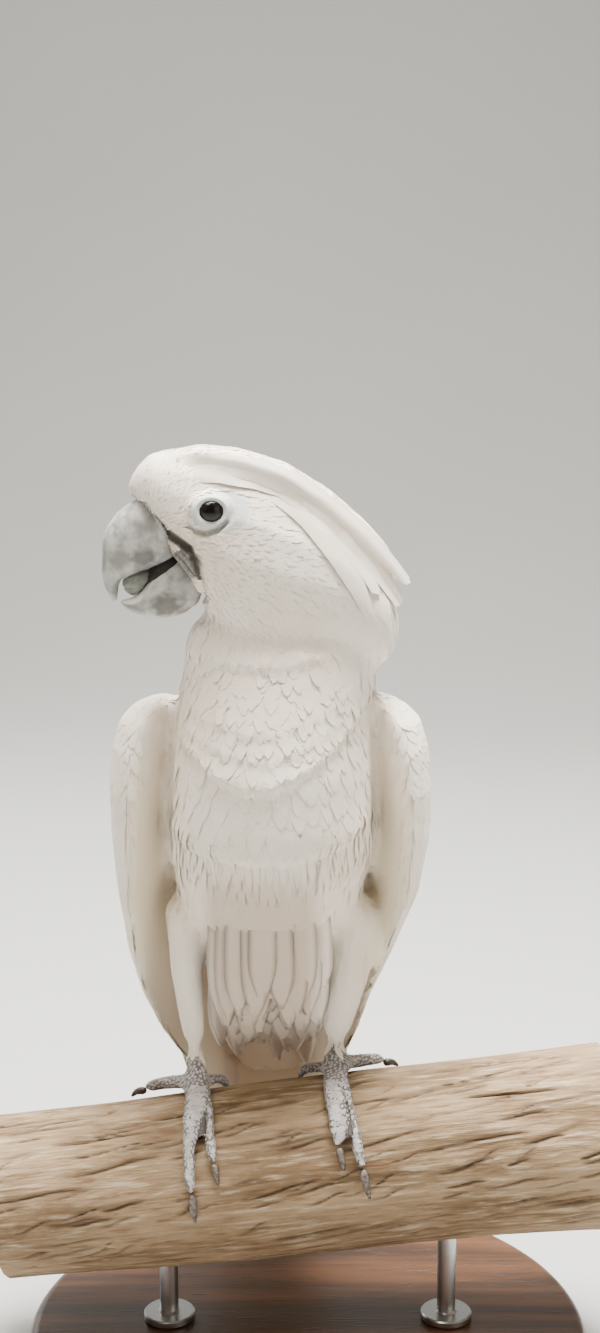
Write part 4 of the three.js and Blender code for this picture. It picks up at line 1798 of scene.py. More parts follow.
@dataclass(frozen=True)
class Quill:
    """One long feather of the tail or wing tip, laid straight from root to tip."""

    root: Vector
    tip: Vector
    across: Vector  # roughly the way its width lies
    width: float
    above: float = 0.0  # how far its line is lifted off, along the fan's upper side, mm


@dataclass
class Fan:
    """Long feathers closed one over another, above and below a thin web of skin."""

    name: str
    quills: list[Quill]
    seed: int
    lemon: float = 0.0
    bend: float = 0.0  # how far the middle of each quill bows, mm
    vane: Vane = Vane(100, 16, 0, rows=15, columns=5, rag=0.006, thick=0.45, round=0.55, camber=0.8)

    def lay(self, quill: Quill, rng: Rng) -> list[Vector]:
        """Gives one quill's vertices, in the same order as a laid vane's.

        Args:
            quill: The feather.
            rng: The fan's random numbers.

        Returns:
            Its vertices.
        """
        vane = self.vane
        line = quill.tip - quill.root
        way = line.normalized()
        across = (quill.across - way * quill.across.dot(way)).normalized()
        out = across.cross(way)
        ragged = rng.uniform(-vane.rag, vane.rag, vane.columns) * line.length
        shares = [2 * c / (vane.columns - 1) - 1 for c in range(vane.columns)]
        top: list[Vector] = []
        under: list[Vector] = []
        for r in range(vane.rows):
            t = r / (vane.rows - 1)
            spot = quill.root + line * t + out * (quill.above + self.bend * 4 * t * (1 - t))
            half = quill.width / 2 * vane.share(t)
            for c, u in enumerate(shares):
                back = t**6 * vane.round * half * u * u - t**6 * ragged[c]
                top.append(spot - across * (u * half) - way * back - out * vane.camber * u * u)
            under.append(spot - out * vane.thick)
        return top + under

    def build(self, coat: Coat) -> None:
        """Makes the fan as one piece.

        Args:
            coat: The coat, which has the skin's bake map.
        """
        rng = np.random.default_rng(self.seed)
        vanes = [self.lay(q, rng) for q in self.quills]
        uv = coat.bake_places([q.root for q in self.quills])
        lemon = np.full(len(vanes), self.lemon)
        wide = np.array([q.width for q in self.quills])
        long = np.array([(q.tip - q.root).length for q in self.quills])
        piece = coat.join(self.name, self.vane, vanes, uv, lemon, wide, long, rng)
        dress(piece, PLUMAGE, rounded=False)
        settle(piece, "plumage")


@dataclass
class TailFan:
    """The twelve tail feathers, the middle pair uppermost, seen from above and from below."""

    root: ClassVar[Vector] = Vector((-0.5, 66.0, 52.0))
    length: float = 142.0
    spread: float = 24.5
    root_spread: float = 8.0
    count: int = 12
    width: float = 19.0
    start: float = 24.0  # how far down the tail the quills show
    shorter: float = 13.0  # how much shorter the outermost pair is

    def build(self, coat: Coat) -> None:
        """Makes the upper and the lower layer.

        Args:
            coat: The coat, which has the skin.
        """
        way = Lie.TAIL.normalized()
        back = Vector((1, 0, 0)).cross(way)
        if back.y < 0:
            back = -back
        for name, sign, seed in (("coat_tail_above", 1, 41), ("coat_tail_below", -1, 42)):
            quills = []
            for i in range(self.count):
                aside = 2 * i / (self.count - 1) - 1
                short = self.shorter * abs(aside) ** 2.2
                root = self.root + Vector((aside * self.root_spread, 0, 0)) + way * self.start
                tip = self.root + Vector((aside * self.spread, 0, 0)) + way * (self.length - short)
                stack = 1.55 - 0.62 * abs(aside) if sign > 0 else 0.75 + 0.6 * abs(aside)
                offset = back * (sign * stack)
                across = Vector((-sign, 0, 0))
                quills.append(Quill(root + offset, tip + offset, across, self.width))
            Fan(name, quills, seed, lemon=0.25 if sign < 0 else 0.0).build(coat)


@dataclass
class Vent:
    """The long loose feathers of the vent, which hang from the belly and hide its turn under."""

    low: float = 44.0
    high: float = 84.0
    half: float = 21.0
    count: int = 60
    length: float = 48.0
    width: float = 12.0
    sunk: float = 3.0  # how deep the roots are in the belly
    vane: Vane = Vane(
        48, 12, 0, rows=10, rag=0.05, thick=0.06, round=0.7, blunt=0.35, camber=0.35, narrow=0.9
    )

    def build(self, coat: Coat) -> None:
        """Hangs the feathers from roots sunk in the belly.

        Args:
            coat: The coat, which has the skin.
        """
        rng = np.random.default_rng(61)
        quills = []
        for i in range(self.count):
            x = self.half * (2 * ((i * 0.618) % 1) - 1)
            z = self.low + (self.high - self.low) * (i + 0.5) / self.count
            hit = coat.skin.tree.ray_cast(Vector((x, -200, z)), Vector((0, 1, 0)), 400)[0]
            if hit is None:
                continue
            run = self.length * rng.uniform(0.8, 1.1)
            root = hit + Vector((0, self.sunk, 0))
            tip = root + Vector((0.05 * x + rng.normal(0, 1.0), 0.37 * run, -0.93 * run))
            quills.append(Quill(root, tip, Vector((-1, 0, 0)), self.width))
        Fan("coat_vent", quills, 62, bend=1.2, vane=self.vane).build(coat)


@dataclass
class WingTip:
    """The primaries of one folded wing, stepped one behind another to the longest."""

    hand: Hand
    root: Vector
    tip: Vector
    across: ClassVar[Vector] = Vector((0.55, -0.8, 0.0))
    root_half: float = 9.0
    tip_half: float = 8.5
    steps: tuple[float, ...] = (34, 19, 8, 0, 7)
    width: float = 12.0

    def build(self, coat: Coat) -> None:
        """Makes the outer and the inner layer.

        Args:
            coat: The coat, which has the skin.
        """
        mirrored = self.hand is Hand.RIGHT
        mirror = Vector((-1 if mirrored else 1, 1, 1))
        line = self.tip - self.root
        way = line.normalized()
        across = (self.across - way * self.across.dot(way)).normalized()
        out = across.cross(way)
        if out.x < 0:
            out = -out
        for layer, sign in (("outer", 1), ("inner", -1)):
            quills = []
            last = len(self.steps) - 1
            for i, short in enumerate(self.steps):
                share = 2 * i / last - 1
                off = out * sign * (1.3 + 0.35 * (i - last / 2) * 0.8)
                root = self.root + across * share * self.root_half + off
                tip = self.root + across * share * self.tip_half + way * (line.length - short) + off
                side = across * (-sign if mirrored else sign) * mirror
                quills.append(Quill(root * mirror, tip * mirror, side, self.width))
            name = f"coat_wing_{self.hand.word}_tip_{layer}"
            Fan(name, quills, 50 + sign, lemon=0.3 if sign < 0 else 0.0).build(coat)


@dataclass(frozen=True)
class Plume:
    """One long crest feather: its shaft's places along the head's middle plane, and its width."""

    shaft: Line
    width: float
    stand: float  # how far it stands off the head, mm


@dataclass
class Crest:
    """The long feathers that sweep back from the crown and end in separate points."""

    vane: Vane = Vane(
        60, 11, 0, rows=22, columns=7, thick=0.25, round=0.9, blunt=0.45, narrow=0.5, rag=0.012
    )
    plumes: tuple[Plume, ...] = (
        Plume(((-16, 258), (0, 255), (14, 245), (25, 231), (33, 217), (38, 205.5)), 9.5, 1.3),
        Plume(((-22, 262), (-4, 260), (14, 250.5), (28, 236), (37, 224), (41.5, 213.5)), 9.5, 1.6),
        Plume(((-26, 265), (-8, 262.5), (12, 254), (30, 239), (43, 223), (52.5, 208)), 10, 1.9),
        Plume(((-30, 266), (-10, 264.6), (10, 257.4), (30, 242.6), (45, 228.5), (56, 216.5)), 9.5, 2.2),
        Plume(((-36, 264), (-22, 265), (-4, 261.5), (10, 254.5), (21, 245)), 9, 2.0),
        Plume(((-34, 259), (-20, 261), (-6, 258.5), (4, 253)), 8, 1.4),
    )

    def build(self, coat: Coat) -> None:
        """Makes the crest's two sides as one piece each.

        Args:
            coat: The coat, which has the skin and its bake map.
        """
        for hand in Hand:
            rng = np.random.default_rng(90 + hand.value)
            laid = [self.lay(plume, hand, coat, rng) for plume in self.plumes]
            vanes = [vertices for vertices, _ in laid]
            uv = coat.bake_places([vertices[0] for vertices in vanes])
            wide = np.array([plume.width for plume in self.plumes])
            long = np.full(len(vanes), self.vane.length)
            none = np.zeros(len(vanes))
            piece = coat.join(f"coat_crest_{hand.word}", self.vane, vanes, uv, none, wide, long, rng)
            coat.shade(piece, self.vane, laid, own=0.75)
            dress(piece, PLUMAGE, rounded=False)
            settle(piece, "plumage")

    def lay(self, plume: Plume, hand: Hand, coat: Coat, rng: Rng) -> Laid:
        """Drapes one feather over the side of the head.

        Args:
            plume: The feather.
            hand: The side of the head.
            coat: The coat, which has the skin.
            rng: The crest's random numbers.

        Returns:
            Its vertices, and the way out of its surface at each row.
        """
        vane = self.vane
        side = Vector(Perch.head_side()) * hand.value
        line = np.array(plume.shaft, float)
        run = np.concatenate([[0], np.cumsum(np.hypot(*np.diff(line, axis=0).T))])
        steps = np.linspace(0, run[-1], vane.rows)
        shaft = np.stack([np.interp(steps, run, line[:, i]) for i in (0, 1)], axis=1)
        for _ in range(3):
            shaft[1:-1] = (shaft[:-2] + 2 * shaft[1:-1] + shaft[2:]) / 4
        ways = unit(np.gradient(shaft, axis=0))
        ragged = rng.uniform(-vane.rag, vane.rag, vane.columns) * run[-1]
        top: list[Vector] = []
        under: list[Vector] = []
        outs: list[Vector] = []
        aside = [15.0] * vane.columns
        for r in range(vane.rows):
            t = r / (vane.rows - 1)
            half = plume.width / 2 * vane.share(t)
            normal = np.array([ways[r, 1], -ways[r, 0]]) * hand.value
            for c in range(vane.columns):
                u = 2 * c / (vane.columns - 1) - 1
                back = t**5 * vane.round * half * u * u - t**5 * ragged[c]
                x, z = shaft[r] + normal * (u * half) - ways[r] * back
                place = Vector((x, Perch.head_plane(x), z))
                aside[c] = self.reach(place, side, coat, aside[c])
                lift = (plume.stand + 0.55) * min(1.0, 2.5 * t) - 0.4 + 0.35 * (1 - u * u)
                top.append(place + side * (aside[c] + lift))
            under.append(top[-1 - vane.columns // 2] - side * vane.thick)
            outs.append(side.copy())
        return top + under, outs

    def reach(self, place: Vector, side: Vector, coat: Coat, last: float) -> float:
        """Gives how far the head reaches out at a place in its middle plane.

        Args:
            place: The place.
            side: The way out, to this side of the head.
            coat: The coat, which has the skin.
            last: The reach one row nearer the root.

        Returns:
            The reach, or a little less than the last where the skin has ended.
        """
        hit = coat.skin.tree.ray_cast(place + side * 60, -side, 60)[0]
        if hit is None:
            return max(last - 0.5, 0.6)
        found = (hit - place).dot(side)
        return min(max(found, last - 1.4), last + 1.4)


# ---- bill, tongue and eyes ------------------------------------------------------------------


def refined(node: str, name: str, voxel: float, rounds: int) -> Piece:
    """Copies a CAD node as one fine smooth surface.

    Args:
        node: The CAD node.
        name: The new piece's name.
        voxel: The mesh's spacing, metres.
        rounds: How many rounds of smoothing it gets.

    Returns:
        The new piece.
    """
    piece = copy_of([node], name)
    use_modifier(piece, "SUBSURF", levels=2, render_levels=2)
    use_modifier(piece, "REMESH", mode="VOXEL", voxel_size=voxel)
    largest_part(piece)
    smoothed(piece, 0.5, rounds)
    return piece


@dataclass
class Bill:
    """Both mandibles, the cere and the tongue."""

    voxel: float = 0.0006
    rubbed_upper: Pair = (-49.0, 227.5)
    rubbed_lower: Pair = (-40.5, 208.5)
    ridge_gap: float = 2.6
    ridge_height: float = 0.06
    mouth_middle: Pair = (-41.0, 221.6)
    mouth_half: Triple = (10.5, 7.4, 4.6)
    mouth_tilt: float = math.radians(-38)
    face: Face = field(default_factory=Face)

    def build(self) -> None:
        """Makes the five pieces."""
        self.lining()
        self.mandible("bill_upper", "upper_mandible", self.rubbed_upper, (5.0, 3.4))
        self.mandible("bill_lower", "lower_mandible", self.rubbed_lower, (5.6, 5.0))
        self.cere()
        self.tongue()

    def mandible(self, node: str, name: str, rubbed: Pair, size: Pair) -> None:
        """Makes one mandible, with growth ridges across it and a scuffed cutting edge.

        Args:
            node: The CAD node it replaces.
            name: The piece's name.
            rubbed: Where the powder is worn off.
            size: How large the worn patch is.
        """
        piece = refined(node, name, self.voxel, 6)
        spot = Perch.to_mm(places(piece))
        out = normals(piece)
        reach = np.hypot(spot[:, 0] + 40, spot[:, 2] - 236)
        phase = reach * 2 * math.pi / self.ridge_gap + 1.5 * ripples(spot, 14, 3)
        ridge = self.ridge_height * np.sin(phase)
        shift = ridge + 0.12 * ripples(spot, 7, 5)
        put(piece, Perch.to_metres(spot + out * shift[:, None]))
        worn = 0.3 * smooth(0.5, 1.1, ripples(spot, 4.5, 22))
        reach = oval_reach(self.face.flat(spot), rubbed, size) + 0.32 * ripples(spot, 3.4, 21)
        note(piece, "rubbed", np.maximum(smooth(1.35, 0.55, reach) * 0.8, worn))
        # paler near the top of the upper mandible's root; on the lower mandible a painted highlight on the
        # faces that look up
        rim = smooth(-42.5, -40.5, spot[:, 0]) * smooth(232, 238, spot[:, 2])
        edge = smooth(0.35, 0.8, out[:, 2]) if node == "bill_lower" else rim
        note(piece, "rim", np.clip(edge, 0, 0.75))
        dress(piece, BILL)
        settle(piece, "bill", node)

    def lining(self) -> None:
        """Makes the inside of the mouth, between the mandibles and behind the tongue, near black as painted
        shade.
        """
        deselect()
        bpy.ops.mesh.primitive_uv_sphere_add(segments=40, ring_count=24, radius=1.0)
        piece = bpy.context.object
        piece.name = "mouth_lining"
        ball = places(piece)
        run, wide, rise = (ball * np.array(self.mouth_half)).T
        cosine, sine = math.cos(self.mouth_tilt), math.sin(self.mouth_tilt)
        x = self.mouth_middle[0] + run * cosine + rise * sine
        z = self.mouth_middle[1] - run * sine + rise * cosine
        spot = np.stack([x, Perch.head_plane(x), z], axis=1) + np.outer(wide, Perch.head_side())
        put(piece, Perch.to_metres(spot + 0.12 * ripples(spot, 2.4, 24)[:, None]))
        # all of it takes the darkest tone: painted shade
        note(piece, "root", np.ones(len(spot)))
        dress(piece, MOUTH_AND_SHADE)
        piece.data.polygons.foreach_set("use_smooth", np.ones(len(piece.data.polygons), bool))
        settle(piece, "tongue")

    def cere(self) -> None:
        """Makes the narrow fold of skin round the root of the bill."""
        piece = copy_of(["cere"], "cere_fold", 0.0002)
        use_modifier(piece, "REMESH", mode="VOXEL", voxel_size=0.0003)
        largest_part(piece)
        smoothed(piece, 0.5, 6)
        spot = Perch.to_mm(places(piece))
        out = normals(piece)
        shift = 0.18 * ripples(spot, 3.2, 8)
        put(piece, Perch.to_metres(spot + out * shift[:, None]))
        note(piece, "rubbed", 0.35 * smooth(0.2, 0.9, ripples(spot, 5, 9)))
        note(piece, "rim", smooth(-0.2, 0.8, ripples(spot, 4, 10)) * 0.6)
        dress(piece, BILL)
        settle(piece, "cere", "cere")

    def tongue(self) -> None:
        """Makes the tongue, with the edge of its horny plate across the front."""
        piece = refined("tongue", "tongue_tip", self.voxel, 4)
        spot = Perch.to_mm(places(piece))
        out = normals(piece)
        shift = -0.4 * np.exp(-(((spot[:, 2] - 214.8) / 0.5) ** 2)) * smooth(-45, -52, spot[:, 0])
        put(piece, Perch.to_metres(spot + out * shift[:, None]))
        # darker towards the root: painted shade deep in the mouth
        note(piece, "root", smooth(-52, -44, spot[:, 0]))
        dress(piece, TONGUE)
        settle(piece, "tongue", "tongue")


@dataclass
class Eyeball:
    """One wet eye, a little fuller over the pupil."""

    hand: Hand
    bulge: float = 0.05  # how far the cornea stands out, as a share of the radius

    def build(self) -> None:
        """Makes the eye from a round, at its node's place."""
        node = f"eye_{self.hand.word}"
        face = Face()
        turned = Perch.head_side() * self.hand.value
        x, z = face.eye
        middle = np.array([x, Perch.head_plane(x), z]) + turned * face.eye_out
        deselect()
        bpy.ops.mesh.primitive_uv_sphere_add(
            segments=48, ring_count=32, radius=face.eye_radius * MM, location=Perch.to_metres(middle)
        )
        piece = bpy.context.object
        piece.name = f"eyeball_{self.hand.word}"
        bpy.ops.object.transform_apply(location=True, rotation=True, scale=True)
        spot = Perch.to_mm(places(piece)) - middle
        level = spot @ turned / face.eye_radius
        spot = spot * (1 + self.bulge * smooth(0.75, 1.0, level))[:, None]
        put(piece, Perch.to_metres(spot + middle))
        off = np.linalg.norm(spot - np.outer(spot @ turned, turned), axis=1) / face.eye_radius
        note(piece, "off_axis", off + (level < 0))
        dress(piece, EYE)
        settle(piece, "eye", node)


# ---- feet -----------------------------------------------------------------------------------


@dataclass
class Feet:
    """The claws, and the scales that cover the bare feet."""

    skin: Skin
    coat: Coat
    scale: Vane = Vane(
        1.45, 1.15, 0.36, rows=3, columns=3, base=0.1, camber=0.14, thick=0.1, blunt=0.8, round=0.7,
        narrow=0.8, stray=14, loose=0.15,
    )
    scute: Vane = Vane(
        2.0, 3.6, 0.4, rows=3, columns=5, base=0.12, camber=0.12, thick=0.1, blunt=0.9, round=0.35,
        narrow=0.9, stray=3, loose=0.05,
    )

    def build(self) -> None:
        """Makes the claws and grows the scales."""
        for claw in (f"claw_{hand.word}_{number}" for hand in Hand for number in range(1, 5)):
            self.claw(claw)
        for hand in Hand:
            for kind, gap, vane, seed, where in (
                ("scales", 1.2, self.scale, 60, self.clear_of_log),
                ("scutes", 1.7, self.scute, 65, self.on_top),
            ):
                patch = Patch(
                    f"{kind}_{hand.word}", (f"foot_{hand.word}",), gap, vane, seed + hand.value, where,
                    finish=FOOT_SCALE, slot="foot_skin", lie=self.lie,
                )
                self.coat.grow(patch)

    def outward(self, spot: Array) -> Array:
        """Gives the direction away from the log's axis at each place.

        Args:
            spot: Places in perch millimetres.

        Returns:
            The directions.
        """
        along = np.array([math.cos(LOG_SLOPE), 0.0, math.sin(LOG_SLOPE)])
        axis = np.array([0.0, 0.0, -LOG_RADIUS])
        off = spot - axis
        return unit(off - np.outer(off @ along, along))

    def clear_of_log(self, spot: Array, out: Array) -> Array:
        """Leaves out the soles, which press on the log."""
        return (out * self.outward(spot)).sum(axis=1) > -0.6

    def on_top(self, spot: Array, out: Array) -> Array:
        """Picks the line along the top of each toe."""
        away = self.outward(spot)
        return ((out * away).sum(axis=1) > 0.965) & (spot[:, 2] < 8)

    def lie(self, spot: Vector, part: str) -> Vector:
        """Gives the way along the nearest toe, towards its claw.

        Args:
            spot: A place on a foot.
            part: The foot's node.

        Returns:
            A direction.
        """
        hand = part.split("_")[1]
        pad = self.pad(hand)
        best, way = 1e9, Vector((0, 0, -1))
        for number in range(1, 5):
            claw = self.claw_root(f"claw_{hand}_{number}")
            line = claw - pad
            share = max(0.0, min(1.0, (spot - pad).dot(line) / line.length_squared))
            off = (spot - pad - line * share).length
            if off < best:
                best, way = off, line
        if spot.z > pad.z + 4:
            return Vector((0, -0.3, -1)).normalized()
        return way.normalized()

    def pad(self, hand: str) -> Vector:
        """Gives the middle of the foot, where its toes join."""
        x = sum(self.claw_root(f"claw_{hand}_{n}").x for n in range(1, 5)) / 4
        return Vector((x, -2.0, 3.0 + x * math.tan(LOG_SLOPE)))

    def claw_root(self, node: str) -> Vector:
        """Gives the middle of a claw, in perch millimetres."""
        low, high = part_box(node)
        return Vector(Perch.to_mm(np.array((low + high) / 2)))

    def claw(self, node: str) -> None:
        """Makes one claw: smooth horn, paler along its back.

        Args:
            node: The CAD node it replaces.
        """
        piece = copy_of([node], node.replace("claw", "talon"))
        use_modifier(piece, "SUBSURF", levels=3, render_levels=3)
        smoothed(piece, 0.4, 3)
        spot = Perch.to_mm(places(piece))
        out = normals(piece)
        put(piece, Perch.to_metres(spot + out * 0.12))
        back = smooth(0.1, 0.9, (out * self.outward(spot)).sum(axis=1))
        note(piece, "back", back)
        dress(piece, CLAW)
        settle(piece, "claw", node)


# ---- perch and stand ------------------------------------------------------------------------


def closed(piece: Piece, finish: Finish, sharp: float) -> None:
    """Closes a rolled-up grid along its seam and at its ends, and dresses it.

    Args:
        piece: The grid.
        finish: Its finish.
        sharp: The angle past which an edge stays sharp, degrees.
    """
    merge = partial(bpy.ops.mesh.remove_doubles, threshold=2e-6)
    edit(piece, merge, partial(bpy.ops.mesh.normals_make_consistent, inside=False))
    dress(piece, finish)
    piece.data.set_sharp_from_angle(angle=math.radians(sharp))


@dataclass
class Log:
    """The weathered log: long fibres, drying checks along it, and sawn ends with rings."""

    start: float = -118.0
    end: float = 143.0
    around: int = 300
    cuts: int = 150
    rings: int = 12
    checks: int = 420
    check_half: Pair = (3, 17)  # half a check's length, mm
    check_width: Pair = (0.3, 0.75)
    check_depth: Pair = (0.4, 1.5)
    check_lean: float = 0.06  # how far it lies off the grain, as a slope
    seed: int = 71

    def build(self) -> None:
        """Makes the log from a flat grid, rolled up and closed at both ends."""
        deselect()
        rows = self.cuts + 2 * self.rings
        bpy.ops.mesh.primitive_grid_add(x_subdivisions=self.around, y_subdivisions=rows, size=1)
        piece = bpy.context.object
        piece.name = "log"
        sheet = places(piece) + 0.5
        self.carve(piece, sheet[:, 0] * 2 * math.pi, sheet[:, 1] * rows)
        closed(piece, WOOD, 60)
        settle(piece, "bark", "perch_log")

    def carve(self, piece: Piece, turn: Array, row: Array) -> None:
        """Rolls the grid into the log and cuts its fibres and checks.

        Args:
            piece: The grid.
            turn: Each vertex's angle round the log.
            row: Each vertex's row, from the middle of one end to the middle of the other.
        """
        last = self.cuts + 2 * self.rings
        reach = np.clip(np.minimum(row, last - row) / self.rings, 0, 1)
        share = np.clip((row - self.rings) / self.cuts, 0, 1)
        along = self.start + share * (self.end - self.start)
        on_side = smooth(0.93, 1.0, reach)
        arc = (turn - math.pi) * LOG_RADIUS
        rng = np.random.default_rng(self.seed)
        wave = np.stack([along / 26, np.cos(turn) * 13, np.sin(turn) * 13], axis=1)
        fibre = ripples(wave, 3.2, 72, 3) * 0.32
        flat = np.stack([along / 60, np.cos(turn) * 36, np.sin(turn) * 36], axis=1)
        fibre += ripples(flat, 14, 73, 2) * 0.5
        dark = np.zeros(len(turn))
        deep = np.zeros(len(turn))
        circle = 2 * math.pi * LOG_RADIUS
        for _ in range(self.checks):
            middle = rng.uniform(self.start, self.end)
            half = rng.uniform(*self.check_half) * rng.uniform(0.5, 1.6)
            side = rng.uniform(-circle / 2, circle / 2)
            wide = rng.uniform(*self.check_width)
            cut = rng.uniform(*self.check_depth)
            lean = rng.uniform(-self.check_lean, self.check_lean)
            run = (along - middle) / half
            bend = side + lean * (along - middle) + rng.uniform(0.5, 2) * np.sin(run * 2.2)
            off = (arc - bend + circle / 2) % circle - circle / 2
            taper = np.clip(1 - run**2, 0, 1)
            notch = np.exp(-((off / wide) ** 2)) * np.sqrt(taper)
            deep = np.maximum(deep, notch * cut)
            # deeper checks are painted darker: painted shade
            dark = np.maximum(dark, notch * min(1.0, 0.45 + cut / 2.2))
        swell = 1 + 0.03 * np.sin(along / 47 + 0.4) * np.cos(2 * turn + along / 90)
        thick = LOG_RADIUS + 2.2 * (along / self.end) ** 2 * np.sign(along)
        size = thick * swell * reach + (fibre - deep) * on_side
        flat = np.stack([reach * np.cos(turn), reach * np.sin(turn), share], axis=1) * 9
        ends = (reach < 0.999) * 0.25 * ripples(flat, 1.4, 75)
        x = along + ends
        y = size * np.sin(turn)
        z = size * np.cos(turn) - thick
        cosine, sine = math.cos(LOG_SLOPE), math.sin(LOG_SLOPE)
        turned = np.stack([x * cosine - z * sine, y, x * sine + z * cosine], axis=1)
        put(piece, Perch.to_metres(turned))
        on_end = (reach < 0.999).astype(float)
        grain = np.stack([along * on_side + 900 * reach * on_end, y + 0 * on_end, z], axis=1) * MM
        note(piece, "grain", grain)
        note(piece, "check", np.clip(dark * on_side, 0, 1) * 0.9)


@dataclass
class Stand:
    """The display stand: a turned walnut base and two steel rods with round feet."""

    radius: float = 0.120
    thick: float = 0.014
    rod: float = 0.004
    foot: float = 0.011
    foot_thick: float = 0.003
    top_round: float = 0.0048  # how far the base's upper edge is rounded
    low_round: float = 0.001

    def build(self) -> None:
        """Makes the base and the rods at their nodes' places."""
        deselect()
        bpy.ops.mesh.primitive_cylinder_add(
            vertices=144, radius=self.radius, depth=self.thick, location=(0, 0, self.thick / 2)
        )
        piece = bpy.context.object
        piece.name = "base_disc"
        bpy.ops.object.transform_apply(location=True, rotation=True, scale=True)
        for level, settings in (
            (self.thick, {"offset": self.top_round, "segments": 6, "profile": 0.55}),
            (0, {"offset": self.low_round, "segments": 2}),
        ):
            self.select_rim(piece, level)
            bpy.ops.mesh.bevel(**settings)
            bpy.ops.object.mode_set(mode="OBJECT")
        for inset in (0.02, 0.0016):
            self.select_face(piece, self.thick)
            bpy.ops.mesh.inset(thickness=inset)
            bpy.ops.object.mode_set(mode="OBJECT")
        dress(piece, WALNUT)
        piece.data.set_sharp_from_angle(angle=math.radians(40))
        settle(piece, "base_wood", "stand_base")
        for number in (1, 2):
            self.rod_with_foot(f"stand_rod_{number}")

    def select_rim(self, piece: Piece, level: float) -> None:
        """Selects the outer edge at a level, in edit mode.

        Args:
            piece: The piece.
            level: The height of the edge, metres.
        """
        pick(piece)
        verts = piece.data.vertices
        for item in (*piece.data.polygons, *verts, *piece.data.edges):
            item.select = False
        for edge in piece.data.edges:
            ends = [verts[i].co for i in edge.vertices]
            flat = all(abs(p.z - level) < 1e-5 for p in ends)
            edge.select = flat and all(math.hypot(p.x, p.y) > self.radius * 0.99 for p in ends)
        bpy.ops.object.mode_set(mode="EDIT")
        bpy.ops.mesh.select_mode(type="EDGE")

    def select_face(self, piece: Piece, level: float) -> None:
        """Selects the round face at a level, in edit mode.

        Args:
            piece: The piece.
            level: The height of the face, metres.
        """
        pick(piece)
        for item in (*piece.data.vertices, *piece.data.edges):
            item.select = False
        for face in piece.data.polygons:
            face.select = abs(face.center.z - level) < 1e-5 and len(face.vertices) > 8
        bpy.ops.object.mode_set(mode="EDIT")
        bpy.ops.mesh.select_mode(type="FACE")

    def rod_with_foot(self, node: str) -> None:
        """Turns one rod and its round foot from their outline, up to the log's underside.

        Args:
            node: The CAD node it replaces.
        """
        low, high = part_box(node)
        x = (low.x + high.x) / 2
        base, top = low.z, high.z
        outline = [
            (0.0, base), (self.foot - 0.0004, base), (self.foot, base + 0.0004),
            (self.foot, base + self.foot_thick - 0.0006),
            (self.foot - 0.0006, base + self.foot_thick), (self.rod + 0.0008, base + self.foot_thick),
            (self.rod, base + self.foot_thick + 0.0008), (self.rod, top), (0.0, top),
        ]
        deselect()
        bpy.ops.mesh.primitive_grid_add(x_subdivisions=64, y_subdivisions=len(outline) - 1, size=1)
        piece = bpy.context.object
        piece.name = node.replace("stand_rod", "rod")
        sheet = places(piece) + 0.5
        row = np.rint(sheet[:, 1] * (len(outline) - 1)).astype(int)
        turn = sheet[:, 0] * 2 * math.pi
        size, level = np.array(outline)[row].T
        put(piece, np.stack([x + size * np.cos(turn), size * np.sin(turn), level], axis=1))
        closed(piece, STEEL, 35)
        settle(piece, "rod_steel", node)


# ---- studio ---------------------------------------------------------------------------------


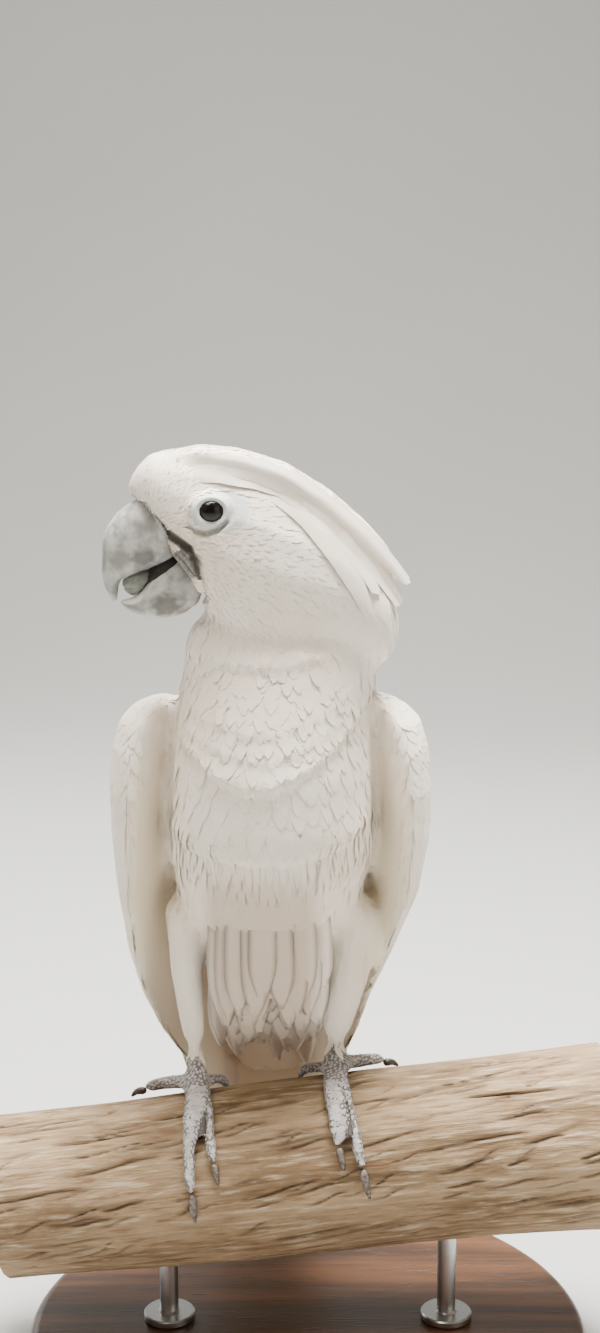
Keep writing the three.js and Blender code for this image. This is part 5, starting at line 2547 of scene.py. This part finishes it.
@dataclass
class Studio:
    """Pale paper, soft lights and the camera."""

    camera_at: Triple = (13.6, -690.0, 273.0)  # perch millimetres
    pitch: float = math.radians(7.6)  # how far the camera looks down
    lens: float = 45.64
    sky: str = "#dfcfb9"
    sky_power: float = 0.48
    paper_width: float = 12.0  # metres, as are the rest
    paper_length: float = 9.0
    paper_front: float = 4.0
    paper_bend: float = 1.5  # how far behind it starts to curve up
    paper_curve: float = 1.6

    def build(self) -> None:
        """Sets the paper, the lights and the camera."""
        self.paper()
        self.light("key", (-0.45, -0.45, 1.6), 0.6, 14, (1.0, 0.94, 0.85))
        self.light("top", (0.1, 0.05, 1.45), 0.7, 100, (1.0, 0.97, 0.91))
        self.light("fill", (1.2, -0.9, 0.6), 1.3, 6.0, (1.0, 0.92, 0.8))
        self.light("back", (-0.9, 1.1, 0.9), 1.0, 8, (1.0, 0.98, 0.95))
        self.light("wash", (0.0, 0.9, 2.4), 2.0, 60, (1.0, 0.98, 0.96), (0.0, 2.6, 0.7))
        world = bpy.data.worlds.new("studio")
        world.use_nodes = True
        shader = world.node_tree.nodes["Background"]
        shader.inputs[0].default_value = linear(self.sky)
        shader.inputs[1].default_value = self.sky_power
        bpy.context.scene.world = world
        camera = bpy.data.cameras.new("camera")
        camera.lens = self.lens
        camera.sensor_width = 36
        camera.clip_start = 0.01
        stand = bpy.data.objects.new("camera", camera)
        stand.location = Perch.to_metres(np.array(self.camera_at))
        stand.rotation_euler = (math.pi / 2 - self.pitch, 0, 0)
        bpy.context.scene.collection.objects.link(stand)
        bpy.context.scene.camera = stand

    def paper(self) -> None:
        """Lays the floor, a wide sheet that curves up far behind."""
        deselect()
        bpy.ops.mesh.primitive_grid_add(x_subdivisions=2, y_subdivisions=48, size=1)
        floor = bpy.context.object
        floor.name = "floor"
        spots = places(floor)
        run = (spots[:, 1] + 0.5) * self.paper_length - self.paper_front
        bend, rise = self.paper_bend, self.paper_curve
        angle = np.clip((run - bend) / rise, 0, math.pi / 2)
        over = np.maximum(run - bend - rise * math.pi / 2, 0)
        y = np.minimum(run, bend) + rise * np.sin(angle)
        z = rise * (1 - np.cos(angle)) + over
        put(floor, np.stack([spots[:, 0] * self.paper_width, y, z], axis=1))
        dress(floor, PAPER)

    def light(
        self, name: str, at: Triple, size: float, power: float, colour: Triple,
        aim: Triple = (0.0, 0.02, 0.25),
    ) -> None:
        """Hangs one square soft light.

        Args:
            name: The light's name.
            at: Where it hangs, metres.
            size: The side of its square, metres.
            power: Its power, watts.
            colour: Its colour, linear.
            aim: The place it faces, metres.
        """
        data = bpy.data.lights.new(name, "AREA")
        data.size = size
        data.energy = power
        data.color = colour
        lamp = bpy.data.objects.new(name, data)
        lamp.location = at
        way = Vector(aim) - Vector(at)
        lamp.rotation_euler = way.to_track_quat("-Z", "Y").to_euler()
        bpy.context.scene.collection.objects.link(lamp)


def main() -> None:
    """Builds the model, piece by piece, and reports each."""
    logging.basicConfig(level=logging.INFO, format="%(message)s")
    Studio().build()
    skin = Skin().build()
    coat = Coat(skin)
    for patch in Plumes().patches():
        coat.grow(patch)
    Crest().build(coat)
    TailFan().build(coat)
    Vent().build(coat)
    WingTip(Hand.LEFT, Vector((30.9, 66, 20)), Vector((17.5, 99.8, -53))).build(coat)
    WingTip(Hand.RIGHT, Vector((39, 66, 20)), Vector((20.2, 99.8, -53))).build(coat)
    Bill().build()
    for hand in Hand:
        Eyeball(hand).build()
    Feet(skin, coat).build()
    Log().build()
    Stand().build()


if __name__ == "__main__":
    main()
